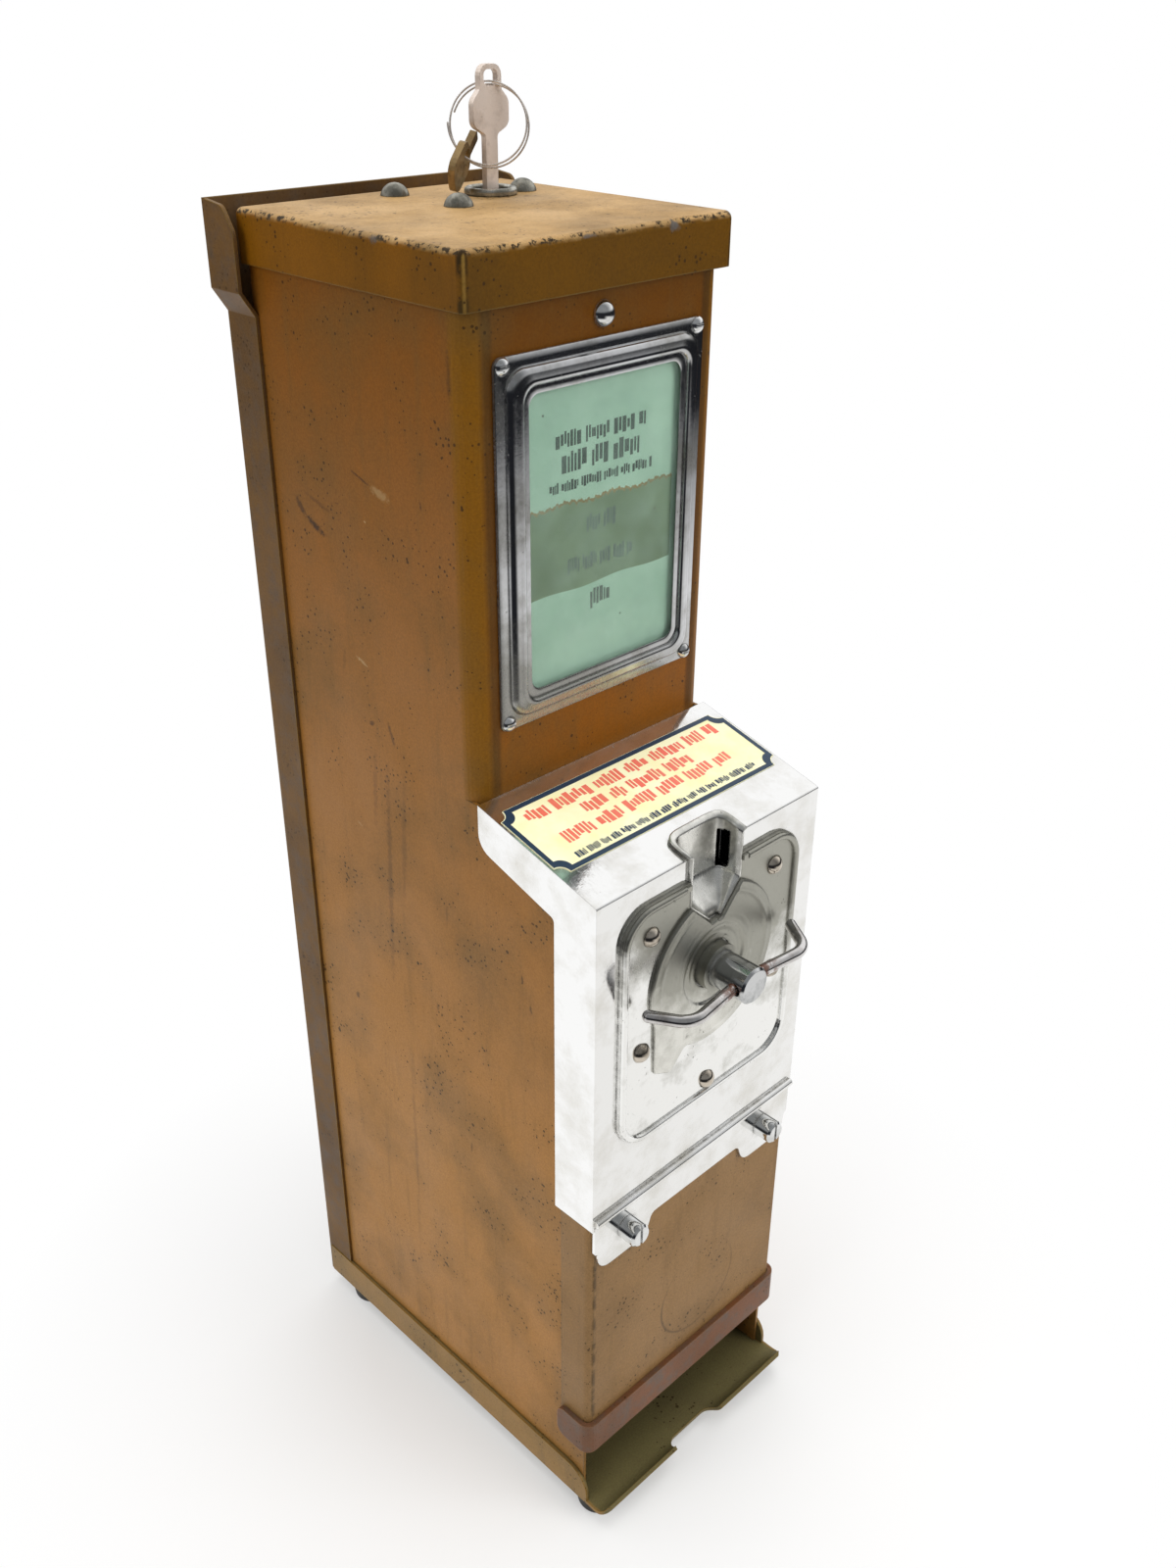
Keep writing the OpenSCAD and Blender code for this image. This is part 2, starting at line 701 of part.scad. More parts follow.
// A slotted turn stud: a head in front of the strip and a cross bar behind the panel.
module stud(side) {
    at = [side * stud_x, stud_z];
    head = strip_front + seat;
    end = head + stud_out;
    bar_back = panel_back - slide - 2.4;
    color(chrome) from_wall() difference() {
        union() {
            pin_y(at, head, end - 0.8, stud_d / 2);
            translate([at.x, -end + 0.8, at.y]) rotate([90, 0, 0])
                cylinder(r1 = stud_d / 2, r2 = stud_d / 2 - 0.8, h = 0.8);
            pin_y(at, bar_back, head + 1, shank_d / 2);
            block([at.x - 5.5, bar_back, at.y - 1.6], [at.x + 5.5, panel_back - slide, at.y + 1.6]);
        }
        block([at.x - 0.6, end - 1.1, at.y - 8], [at.x + 0.6, end + 1, at.y + 8]);
    }
}

// --- Coin plate, pocket and cover ---

bushing_r = spindle_d / 2 + 1.9;
pocket_back = plate_front + 0.1 - pocket_d;

function plate_rivet_places() =
    let (x_high = plate_w / 2 - 13, high = plate_bottom + plate_h - 12)
    let (x_low = plate_w / 2 - 10, low = plate_bottom + 38)
    [[-x_high, high], [x_high, high], [-x_low, low], [x_low, low], [1, plate_bottom + 7]];

// The pocket's outline from the front, grown by g.
function pocket_outline(g) =
    let (half = pocket_w / 2, top = spindle_z + pocket_top, point = spindle_z + pocket_point)
    rounded([[-half - g, point + 10], [-2, point - g], [3, point - g], [half + g, point + 11],
             [half + g, top + g], [-half - g, top + g]], [2, 2, 2, 2, 2 + g, 6 + g]);

module coin_plate() {
    lo = [-plate_w / 2, plate_bottom];
    hi = [plate_w / 2, plate_bottom + plate_h];
    rim = [rim_w, rim_w];
    color(chrome) from_wall() difference() {
        union() {
            front_sheet(plate_back, plate_t) polygon(rounded_box(lo, hi, plate_r, 8));
            front_sheet(plate_back, plate_t + rim_t) difference() {
                polygon(rounded_box(lo + rim / 4, hi - rim / 4, plate_r - rim_w / 4, 8));
                polygon(rounded_box(lo + rim, hi - rim, plate_r - rim_w, 8));
            }
        }
        front_sheet(plate_back - 1, 6) polygon(pocket_outline(seat));
        pin_y([0, spindle_z], plate_back - 1, plate_front + 1, bushing_r + seat);
        for (at = plate_rivet_places()) pin_y(at, plate_back - 1, plate_front + 1, 1.65);
    }
}

module plate_rivet(i) {
    at = plate_rivet_places()[i];
    color(nickel) from_wall() {
        front_cap(at, plate_front + seat, rivet_r, rivet_r * 0.72);
        pin_y(at, panel_back + 0.2, plate_front + 0.3, 1.6);
    }
}

// The pocket that a coin drops into: a shallow tray with a point at the bottom, whose
// right wall is open so that the coin rolls on into the runway.
module coin_pocket() {
    right = pocket_w / 2;
    low = spindle_z + pocket_point + 12;
    high = spindle_z + pocket_top - 6;
    color(nickel) from_wall() difference() {
        front_sheet(pocket_back, pocket_d) polygon(pocket_outline(0));
        front_sheet(pocket_back + pocket_t, pocket_d) polygon(pocket_outline(-pocket_t));
        block([right - 4, pocket_back + pocket_t, low],
              [right + 1, pocket_back + pocket_t + coin_gap, high]);
    }
}

module coin_cover() {
    centre = [0, spindle_z];
    tab = [[-28, spindle_z - 8], [-27, spindle_z - 31], [-20, spindle_z - 34.5],
           [-14, spindle_z - 28], [-3, spindle_z - 26], [0, spindle_z - 10]];
    color(nickel) from_wall() difference() {
        union() {
            pin_y(centre, cover_back, cover_front, cover_r);
            front_sheet(cover_back, cover_t - 0.6) polygon(rounded(tab, [0, 1.5, 1.5, 2, 1, 0]));
        }
        translate([0, -cover_front + cover_t * 0.45, spindle_z]) rotate([90, 0, 0])
            cylinder(r1 = dish_r - 2, r2 = dish_r, h = cover_t * 0.45 + 0.01);
        pin_y(centre, cover_back - 1, cover_front + 1, bushing_r + seat);
        front_sheet(cover_back - 1, cover_t + 2) polygon(pocket_outline(0.3));
        for (at = plate_rivet_places())
            pin_y(at, cover_back - 1, cover_front + 1, rivet_r + 0.3);
    }
}

module spindle_bushing() {
    at = [0, spindle_z];
    nut_front = unit_back - seat;
    color(nickel) from_wall() difference() {
        union() {
            pin_y(at, nut_front - 4, cover_front + 2.6, bushing_r);
            pin_y(at, nut_front - 2.4, nut_front, bushing_r + 3);
        }
        pin_y(at, nut_front - 5, cover_front + 4, spindle_d / 2 + run);
    }
}

// --- Handle ---

journal_r = 4;
bearing_out = rack_out - 9;
bearing_t = 2.5;

module spindle() {
    at = [0, spindle_z];
    soft = 0.8;
    color(chrome) from_wall() difference() {
        union() {
            pin_y(at, bearing_out + bearing_t + 2.7, spindle_end - soft, spindle_d / 2);
            translate([0, -spindle_end + soft, spindle_z]) rotate([90, 0, 0])
                cylinder(r1 = spindle_d / 2, r2 = spindle_d / 2 - soft, h = soft);
            pin_y(at, bearing_out - 1, bearing_out + bearing_t + 3, journal_r);
        }
        pin_x([wire_out, spindle_z], -20, 20, wire_d / 2 + seat);
    }
}

// The right half of the wire's route as [x, y, heading, radius]: a straight, a bend and
// a leg with a round end.
function wire_half() =
    let (r = wire_d / 2, bend = atan2(grip_back, grip_splay))
    let (ease = grip_r * tan(bend / 2), straight = grip_x - ease)
    let (leg = norm([grip_back, grip_splay]) - ease - r, middle = grip_r - wire_out)
    let (tip = [straight, middle] + grip_r * [sin(bend), -cos(bend)])
    [each [for (a = [0:bend / 8:bend + 0.01])
         [straight + grip_r * sin(a), middle - grip_r * cos(a), a, r]],
     each [for (b = [0, 30, 55, 75]) let (run_on = leg + r * sin(b))
         [tip.x + run_on * cos(bend), tip.y + run_on * sin(bend), bend, r * cos(b)]]];

// A wire through the spindle whose two ends bend back towards the plate.
module handle_wire() {
    sides = 32;
    half = wire_half();
    last = len(half) - 1;
    route = [each [for (i = [last:-1:0]) let (p = half[i]) [-p.x, p.y, -p[2], p[3]]],
             each half];
    points = [for (p = route) for (k = [0:sides - 1]) let (u = 360 * k / sides)
        [p.x - p[3] * cos(u) * sin(p[2]), p.y + p[3] * cos(u) * cos(p[2]),
         spindle_z + p[3] * sin(u)]];
    rings = len(route);
    faces = [[for (k = [0:sides - 1]) k],
             each [for (i = [0:rings - 2], k = [0:sides - 1]) let (n = (k + 1) % sides)
                 [i * sides + k, (i + 1) * sides + k, (i + 1) * sides + n, i * sides + n]],
             [for (k = [sides - 1:-1:0]) (rings - 1) * sides + k]];
    color(chrome) from_wall() polyhedron(points, faces);
}

module spindle_pinion() {
    color(steel) from_wall() difference() {
        translate([0, 0, spindle_z]) front_sheet(rack_out, gear_w)
            polygon(gear_points(pinion_n));
        pin_y([0, spindle_z], rack_out - 1, rack_front + 1, spindle_d / 2 + seat);
    }
}

module bearing_plate() {
    high = 24;
    edge = inner_half - seat;
    outline = rounded_box([-edge, spindle_z - high], [edge, spindle_z + high], 3);
    color(steel) from_wall() difference() {
        front_sheet(bearing_out, bearing_t) polygon(outline);
        pin_y([0, spindle_z], bearing_out - 1, bearing_out + bearing_t + 1, journal_r + run);
    }
}

// --- Rack bar and transfer shaft ---

// Upper teeth face the pinion; lower teeth face the transfer shaft behind the bar.
module rack_bar() {
    teeth = ceil((rack_travel + mesh_reach) / pitch);
    color(steel) from_wall() {
        block([bar_left, rack_out, bar_bottom], [bar_right, rack_front, bar_top]);
        front_sheet(rack_out, gear_w) for (j = [-teeth + 1:1])
            translate([bar_right, 0]) polygon(rack_tooth(spindle_z + j * pitch));
        side_sheet(bar_left, bar_right) for (j = [-teeth + 1:1])
            translate([rack_out, 0]) mirror([1, 0]) polygon(rack_tooth(transfer_z + j * pitch));
    }
}

// A guide that holds the bar from behind, from its left and from in front.
module rack_guide(from, z, high) {
    near = rack_out - slide;
    far = rack_front + slide;
    left = bar_left - slide;
    color(steel) from_wall() {
        block([left - 5, from, z], [left, far + 2.2, z + high]);
        block([left - 1, max(from, near - 7), z], [bar_right - 0.5, near, z + high]);
        block([left - 1, far, z], [bar_right - 2.5, far + 2.2, z + high]);
    }
}

module rack_guide_upper() {
    rack_guide(bearing_out + bearing_t + seat, spindle_z - 16, 24);
}

module rack_guide_lower() {
    rack_guide(mag_front + seat, transfer_z + 1.5 * pitch + rack_travel + 2, 12);
}

module transfer_gears() {
    at = [transfer_out, transfer_z];
    color(steel) from_wall() {
        pin_x(at, -inner_half + slide, cheek_right + cheek_t + 2, shaft_r);
        side_sheet(small_left, small_left + small_w) translate(at)
            polygon(gear_points(small_n));
        side_sheet(push_left - 0.25, push_right + 0.25) translate(at)
            polygon(gear_points(large_n));
    }
}

module transfer_bracket() {
    back = mag_front + seat;
    base_t = 1.2;
    low = transfer_z - 12;
    high = transfer_z + 14;
    cheek = rounded_box([back, transfer_z - 9], [transfer_out + 7, transfer_z + 9], 4);
    color(steel) from_wall() difference() {
        union() {
            block([cheek_left, back, low], [cheek_right + cheek_t, back + base_t, high]);
            side_sheet(cheek_left, cheek_left + cheek_t) polygon(cheek);
            side_sheet(cheek_right, cheek_right + cheek_t) polygon(cheek);
        }
        pin_x([transfer_out, transfer_z], cheek_left - 1, cheek_right + cheek_t + 1,
              shaft_r + run);
    }
}

// --- Packet magazine, pusher and coin box ---

module ejector_slide() {
    teeth = ceil((push_travel + mesh_reach) / pitch);
    root_z = push_pitch_z - dedendum;
    far = transfer_out + mesh_reach + 2;
    rear = push_front - 9.5;
    color(steel) from_wall() {
        block([-packet_w / 2 + 3, push_front - 31.5, pusher_z],
              [packet_w / 2 - 3, push_front, pusher_z + pusher_t]);
        block([push_left, rear, pusher_z],
              [-packet_w / 2 + 8, push_front, pusher_z + pusher_t]);
        block([push_left, rear, pusher_z], [push_right, push_front, push_bar_z + 0.5]);
        block([push_left, rear, push_bar_z], [push_right, far, root_z]);
        translate([0, -transfer_out, 0]) side_sheet(push_left, push_right)
            for (j = [-teeth + 1:1]) translate([0, root_z]) rotate(90) mirror([0, 1])
                polygon(rack_tooth(j * pitch));
    }
}

module slide_rail() {
    top = push_bar_z - slide;
    wall_x = -inner_half + seat;
    from = push_front + push_travel + 6;
    color(steel) from_wall() {
        block([wall_x, from, top - 3], [push_right + 0.5, side_front - 3, top]);
        block([wall_x, from, top - 1], [push_left - slide, side_front - 3, push_bar_z + 9]);
    }
}

module packet_shelf() {
    edge = inner_half - seat;
    color(bronze) from_wall()
        block([-edge, case_gap + case_t + seat, slot_top], [edge, mag_front + 3, shelf_z]);
}

module magazine() {
    low = shelf_z + seat;
    inner = packet_w / 2;
    cut = shelf_z + exit_h;
    color(steel) from_wall() difference() {
        block([-mag_half, mag_back, low], [mag_half, mag_front, mag_top]);
        block([-inner, mag_back + mag_t, low - 1], [inner, mag_front - mag_t, mag_top + 1]);
        block([-inner, mag_back - 1, low - 1], [inner, mag_front + 1, cut]);
        block([-mag_half - 1, mag_back - 1, low - 1],
              [-inner + 1, push_front + push_travel + 5, cut]);
    }
}

module follower() {
    low = pusher_z + pusher_t + slide;
    gap = slide + 0.05;
    color(steel) from_wall()
        block([-packet_w / 2 + gap, mag_back + mag_t + gap, low],
              [packet_w / 2 - gap, mag_front - mag_t - gap, low + follower_h]);
}

runway_back = pocket_back + pocket_t - 1;
runway_front = runway_back + coin_gap + 2;
module coin_runway() {
    left = pocket_w / 2 + 0.2;
    right = left + coin_w + 2;
    low = unit_bottom - 1;
    top = unit_top - 1;
    mouth_low = spindle_z + pocket_point + 12;
    mouth_high = spindle_z + pocket_top - 6;
    color(steel) from_wall() {
        difference() {
            block([left, runway_back, low], [right, runway_front, top]);
            block([left + 1, runway_back + 1, low - 1], [right - 1, runway_front - 1, top - 1]);
            block([left - 1, runway_back + 1, mouth_low],
                  [left + 3, runway_front - 1, mouth_high]);
        }
        for (z = [unit_bottom + 14, spindle_z - 8])
            block([left + 8, runway_front, z], [left + 16, unit_back - seat, z + 4]);
    }
}

coin_shelf_z = push_pitch_z + addendum + 1;
module coin_shelf() {
    edge = inner_half - seat;
    color(bronze) from_wall() block([push_right + 2, rack_front + 2, coin_shelf_z],
                                    [edge, panel_back - seat, coin_shelf_z + 1.5]);
}

module coin_box() {
    low = coin_shelf_z + 1.5 + seat;
    lo = [push_right + 3, rack_front + 3, low];
    hi = [inner_half - 3, panel_back - 0.5, low + box_h];
    color(steel) from_wall() difference() {
        block(lo, hi);
        block(lo + [1, 1, 1], hi + [-1, -1, 1]);
    }
}

// --- Lid and lock ---

// A block with round upright and upper edges, from z = 0 up to h.
module soft_block(half_x, half_y, h, r) {
    x = half_x - r;
    y = half_y - r;
    translate([-x, -y, 0]) cube([2 * x, 2 * y, h]);
    translate([-half_x, -y, 0]) cube([2 * half_x, 2 * y, h - r]);
    translate([-x, -half_y, 0]) cube([2 * x, 2 * half_y, h - r]);
    for (sx = [-x, x], sy = [-y, y]) {
        translate([sx, sy, 0]) cylinder(r = r, h = h - r);
        translate([sx, sy, h - r]) sphere(r);
    }
    for (sy = [-y, y])
        translate([-x, sy, h - r]) rotate([0, 90, 0]) cylinder(r = r, h = 2 * x);
    for (sx = [-x, x])
        translate([sx, -y, h - r]) rotate([-90, 0, 0]) cylinder(r = r, h = 2 * y);
}

module lid_cap() {
    gap = lid_clear + lid_t;
    back = case_gap - gap;
    front = upper_front + gap;
    neck = lock_r - 0.5;
    color(bronze) from_wall() difference() {
        translate([0, -(back + front) / 2, lid_bottom])
            soft_block(lid_half, (front - back) / 2, lid_rim, lid_r);
        block([-lid_half + lid_t, back + lid_t, lid_bottom - 1],
              [lid_half - lid_t, front - lid_t, lid_top - lid_t]);
        translate([lock_x, -lock_out, lid_bottom]) cylinder(r = neck + seat, h = lid_rim + 1);
        for (at = lid_rivets) translate([at.x, -at.y, lid_bottom])
            cylinder(r = 2 + seat, h = lid_rim + 1);
    }
}

module lid_rivet(i) {
    at = lid_rivets[i];
    color(nickel) from_wall() translate([at.x, -at.y, 0]) {
        translate([0, 0, lid_top + seat]) cap(lid_rivet_r, lid_rivet_h);
        translate([0, 0, lid_top - lid_t - 4.2]) cylinder(r = 2, h = lid_t + 5);
        translate([0, 0, lid_top - lid_t - 4.2]) cylinder(r = 3.2, h = 1);
    }
}

// The lock's casting: a plate riveted under the lid, with a barrel and a collar.
module lock_body() {
    plate_top = lid_top - lid_t - seat;
    plate = [for (p = lid_rivets) [p.x, -p.y]];
    middle = (plate[0] + plate[1] + plate[2]) / 3;
    grown = [for (p = plate) p + 11 * unit_vector(p - middle)];
    neck = lock_r - 0.5;
    bore = plug_r + run;
    collar = rounded([[bore + 0.3, 0], [lock_r, 0], [lock_r, collar_h], [bore + 0.3, collar_h]],
                     [0, 0.6, 1.1, 0.8], 4);
    color(nickel) from_wall() difference() {
        union() {
            translate([0, 0, plate_top - 3]) linear_extrude(3)
                polygon(rounded(grown, [6, 6, 6]));
            translate([lock_x, -lock_out, barrel_bottom])
                cylinder(r = neck, h = lid_top - barrel_bottom + 0.5);
            translate([lock_x, -lock_out, lid_top + seat]) rotate_extrude() polygon(collar);
        }
        translate([lock_x, -lock_out, barrel_bottom - 1]) cylinder(r = bore, h = 40);
        for (p = plate) translate([p.x, p.y, plate_top - 4]) cylinder(r = 2 + seat, h = 5);
    }
}

module lock_plug() {
    slot = [blade_w + 0.2, key_t + 0.2];
    color(nickel) from_wall() translate([lock_x, -lock_out, 0]) difference() {
        union() {
            translate([0, 0, barrel_bottom]) cylinder(r = plug_r, h = plug_top - barrel_bottom);
            translate([0, 0, cam_z - 1.5]) cylinder(r = 2.5, h = barrel_bottom - cam_z + 2);
        }
        translate([-slot.x / 2, -slot.y / 2, key_bottom - 0.3])
            cube([slot.x, slot.y, plug_top - key_bottom + 2]);
    }
}

// The cam points to the back wall when unlocked, and turns under the keeper to lock.
module lock_cam() {
    outline = rounded([[-5, -5], [5, -5], [4, cam_l], [-4, cam_l]], [4.5, 4.5, 3, 3]);
    color(steel) from_wall() translate([lock_x, -lock_out, cam_z]) difference() {
        linear_extrude(cam_t) polygon(outline);
        translate([0, 0, -1]) cylinder(r = 2.5 + seat, h = cam_t + 2);
    }
}

module cam_keeper() {
    wall_x = inner_half - seat;
    low = cam_z + cam_t + slide + 0.2;
    reach = lock_x + cam_l - 3;
    color(steel) from_wall() {
        block([reach, lock_out - 8, low], [wall_x, lock_out + 8, low + 1.6]);
        block([wall_x - 1.6, lock_out - 8, low], [wall_x, lock_out + 8, low + 11]);
    }
}

// --- Keys and ring ---

module key() {
    b = blade_w / 2;
    w = bow_w / 2;
    l = loop_w / 2;
    hole = [l - 1.6, loop_h - 2 * loop_wall + 0.4];
    outline = [[-b, key_bottom], [b, key_bottom], [b, shoulder_z], [w, shoulder_z + 2.5],
               [w, bow_top - 3], [l, bow_top], [l, loop_top], [-l, loop_top], [-l, bow_top],
               [-w, bow_top - 3], [-w, shoulder_z + 2.5], [-b, shoulder_z]];
    radii = [1.5, 1.5, 1.5, 3, 3.5, 1, 3.2, 3.2, 1, 3.5, 3, 1.5];
    color(chrome) from_wall() translate([lock_x, 0, 0]) difference() {
        front_sheet(lock_out - key_t / 2, key_t) polygon(rounded(outline, radii, 5));
        front_sheet(lock_out - key_t, key_t * 2) polygon(rounded_box(
            [-hole.x, hole_bottom], [hole.x, hole_bottom + hole.y], 1.6, 5));
    }
}

// Places pieces that hang from the key: its loop is the origin, -Y faces the viewer
// who stands in front of the machine's left corner, and the ring leans from the blade.
ring_face = -45;
module from_loop() {
    translate([lock_x, -lock_out, hang_z]) rotate([0, 0, ring_face]) children();
}

module key_ring() {
    color(chrome) from_wall() from_loop() rotate([-ring_lean, 0, 0])
        translate([0, 0, -ring_r]) rotate([90, 0, 0]) rotate_extrude()
            translate([ring_r, 0]) circle(ring_wire / 2);
}

// The second key leans on the lid, with the ring through its bow and its blade behind
// the first key. The ring passes through the bow at this angle around the ring.
spare_at = 229;
spare_tilt = 18;
spare_back = 50;
spare_hole = 12;
module spare_key() {
    w = 6;
    b = 1.8;
    foot = 1;
    neck = 14.5;
    end = 21.5;
    hole = [2.4, 2.2];
    hang = ring_r * [cos(spare_at), 0, sin(spare_at) - 1];
    color(brass) from_wall() from_loop()
        translate([hang.x, hang.z * sin(ring_lean), hang.z * cos(ring_lean)])
            rotate([-spare_back, 0, 0]) rotate([0, spare_tilt, 0]) rotate([0, 0, 90])
                translate([0, 0, -spare_hole]) difference() {
                    front_sheet(-key_t / 2, key_t) polygon(rounded([[-w, foot], [w, foot],
                        [w, neck - 1], [b, neck], [b, end], [-b, end], [-b, neck],
                        [-w, neck - 1]], [4, 4, 3, 0.8, 0.6, 0.6, 0.8, 3], 5));
                    front_sheet(-key_t, key_t * 2) polygon(rounded_box(
                        [-hole.x, spare_hole - hole.y], [hole.x, spare_hole + hole.y], 1.6, 5));
                }
}

// --- Sign, fasteners and label ---

function sign_screw_places() = [for (x = [-1, 1], z = [-1, 1])
    [x * (frame_w / 2 - 2.9), frame_mid + z * (frame_h / 2 - 2.4)]];

module sign_frame() {
    half = [frame_w, frame_h] / 2;
    win = [window_w, window_h] / 2;
    mid = [0, frame_mid];
    hold = win + [4.5, 4.5];
    step = [3.4, 3.4];
    base_t = 1;
    back = upper_front + seat;
    color(chrome) from_wall() difference() {
        union() {
            front_sheet(back, base_t) polygon(rounded_box(mid - half, mid + half, 2.5));
            front_sheet(back, frame_t) difference() {
                polygon(rounded_box(mid - half + step, mid + half - step, 5));
                for (at = sign_screw_places()) translate(at) circle(screw_r + 0.4);
            }
        }
        front_sheet(back - 1, glass_t + 1.65) polygon(rounded_box(mid - hold, mid + hold, 1));
        front_sheet(back - 1, frame_t + 2) polygon(rounded_box(mid - win, mid + win, 4));
        for (at = sign_screw_places()) pin_y(at, back - 1, back + 3, 1.45);
    }
}

card_t = 0.4;
module sign_card() {
    hold = [window_w, window_h] / 2 + [4, 4];
    mid = [0, frame_mid];
    color("#9dbfa5") from_wall() front_sheet(upper_front + seat, card_t)
        polygon(rounded_box(mid - hold, mid + hold, 1));
}

module sign_glass() {
    hold = [window_w, window_h] / 2 + [4.2, 4.2];
    mid = [0, frame_mid];
    color([0.8, 0.95, 0.9, 0.35]) from_wall() front_sheet(upper_front + card_t + 2 * seat, glass_t)
        polygon(rounded_box(mid - hold, mid + hold, 1));
}

module sign_screw(i) {
    at = sign_screw_places()[i];
    seat_out = upper_front + seat + 1 + seat;
    color(chrome) from_wall() difference() {
        union() {
            front_cap(at, seat_out, screw_r, 1.7);
            pin_y(at, upper_front - case_t - 1, seat_out + 0.3, 1.4);
        }
        block([at.x - 3, seat_out + 1.1, at.y - 0.35], [at.x + 3, seat_out + 3, at.y + 0.35]);
    }
}

module dome_bolt() {
    color(chrome) from_wall() {
        front_cap([0, bolt_z], upper_front + seat, bolt_r, bolt_r * 0.8);
        pin_y([0, bolt_z], upper_front - case_t - 1.5, upper_front + seat + 0.5, 2);
    }
}

// A ticket-shaped label on the sloping top, with a scoop out of each corner.
module label() {
    w = unit_half - label_side;
    l = label_l / 2;
    scoop = 3.6;
    steps = 6;
    corner = [[w, l], [-w, l], [-w, -l], [w, -l]];
    turn = [270, 0, 90, 180];
    outline = [for (k = [0:3]) each [for (i = [0:steps])
        corner[k] + scoop * [cos(turn[k] - 90 * i / steps), sin(turn[k] - 90 * i / steps)]]];
    middle_out = upper_front + 6.3 + l * cos(slope_angle);
    color("#f3eea0") from_wall() translate([0, -middle_out, slope_z(middle_out)])
        rotate([slope_angle, 0, 0]) translate([0, 0, 0.03]) linear_extrude(0.2) polygon(outline);
}

// --- The nodes ---

wall_bracket();
tray();
foot(-foot_x, foot_rear_out);  // foot_rear_left
foot(foot_x, foot_rear_out);  // foot_rear_right
foot(-foot_x, foot_front_out);  // foot_front_left
foot(foot_x, foot_front_out);  // foot_front_right
case_shell();
lower_panel();
guard_strap();
unit_housing();
tab_strip();
stud(-1);  // stud_left
stud(1);  // stud_right
coin_plate();
plate_rivet(0);  // plate_rivet_1
plate_rivet(1);  // plate_rivet_2
plate_rivet(2);  // plate_rivet_3
plate_rivet(3);  // plate_rivet_4
plate_rivet(4);  // plate_rivet_5
coin_pocket();
coin_cover();
spindle_bushing();
spindle();
handle_wire();
spindle_pinion();
bearing_plate();
rack_bar();
rack_guide_upper();
rack_guide_lower();
transfer_gears();
transfer_bracket();
ejector_slide();
slide_rail();
packet_shelf();
magazine();
follower();
coin_runway();
coin_shelf();
coin_box();
lid_cap();
lid_rivet(0);  // lid_rivet_1
lid_rivet(1);  // lid_rivet_2
lid_rivet(2);  // lid_rivet_3
lock_body();
lock_plug();
lock_cam();
cam_keeper();
key();
key_ring();
spare_key();
sign_frame();
sign_glass();
sign_card();
sign_screw(0);  // sign_screw_1
sign_screw(1);  // sign_screw_2
sign_screw(2);  // sign_screw_3
sign_screw(3);  // sign_screw_4
dome_bolt();
label();
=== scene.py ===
# %% [markdown]
# # A stamp vending machine, dressed in Blender
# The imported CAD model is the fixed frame. Most of its sheet-metal solids keep their own
# meshes and get a worn finish here. Pressed, rolled and bent shapes that a plain solid
# only hints at are worked out with numpy and stand for their solids.

# %% Load the frame
import math

import bmesh
import bpy
import numpy as np
from mathutils import Matrix, Vector


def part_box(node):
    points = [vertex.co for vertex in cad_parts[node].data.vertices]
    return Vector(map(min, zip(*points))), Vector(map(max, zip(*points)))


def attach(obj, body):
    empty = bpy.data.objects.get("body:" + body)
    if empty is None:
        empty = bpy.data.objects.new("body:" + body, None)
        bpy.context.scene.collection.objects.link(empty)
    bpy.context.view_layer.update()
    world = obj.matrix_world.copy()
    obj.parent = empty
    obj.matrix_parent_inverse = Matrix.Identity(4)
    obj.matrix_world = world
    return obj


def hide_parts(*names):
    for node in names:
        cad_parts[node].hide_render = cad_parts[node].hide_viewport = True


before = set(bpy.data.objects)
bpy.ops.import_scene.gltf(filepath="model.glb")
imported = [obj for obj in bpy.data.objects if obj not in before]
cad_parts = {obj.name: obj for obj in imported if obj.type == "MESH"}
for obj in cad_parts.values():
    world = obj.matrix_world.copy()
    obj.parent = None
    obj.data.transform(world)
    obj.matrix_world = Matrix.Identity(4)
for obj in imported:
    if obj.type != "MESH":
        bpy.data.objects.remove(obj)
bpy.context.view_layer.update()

# %% [markdown]
# ## Camera
# The photograph was taken from the front left, above the lid, with a fairly wide lens.
# The camera's place and directions were fitted to edges of the case, the lid and the unit.

# %% Place the camera
CAMERA_AT = (-0.30471, -0.32012, 0.52314)
CAMERA_RIGHT = (0.70990, -0.70426, 0.00775)
CAMERA_UP = (0.33917, 0.35149, 0.87259)
CAMERA_BACK = (-0.61726, -0.61682, 0.48839)
camera_data = bpy.data.cameras.new("camera")
camera_data.lens = 33.35
camera_data.sensor_width = 36
camera_data.clip_start = 0.01
camera_data.clip_end = 50
camera = bpy.data.objects.new("camera", camera_data)
turn = Matrix((CAMERA_RIGHT, CAMERA_UP, CAMERA_BACK)).transposed()
camera.matrix_world = Matrix.Translation(CAMERA_AT) @ turn.to_4x4()
bpy.context.scene.collection.objects.link(camera)
bpy.context.scene.camera = camera
print("camera lens in mm:", camera_data.lens)

# %% [markdown]
# ## Millimetres from the wall
# The machine hangs on a wall, so its maker would measure out from the wall plane. Points
# are written that way and then turned into the frame's own metres.

# %% Turn wall measures into the frame
MM = 0.001
ORIGIN_OUT = 92.575
SLOPE = math.radians(14.42)


def from_wall(points):
    """Points as [x, out, z] in mm become [x, y, z] in m: y is the origin less out."""
    p = np.asarray(points, float)
    return np.stack([p[..., 0], ORIGIN_OUT - p[..., 1], p[..., 2]], -1) * MM


print("spindle end at y =", from_wall([0, 185.15, 238.2])[1])

# %% [markdown]
# ## Meshes from arrays
# A pressed or bent sheet is a grid of points. Quads join neighbours, and a grid can wrap
# round in either direction, so that a frame or a wire closes on itself.

# %% Join a grid of points


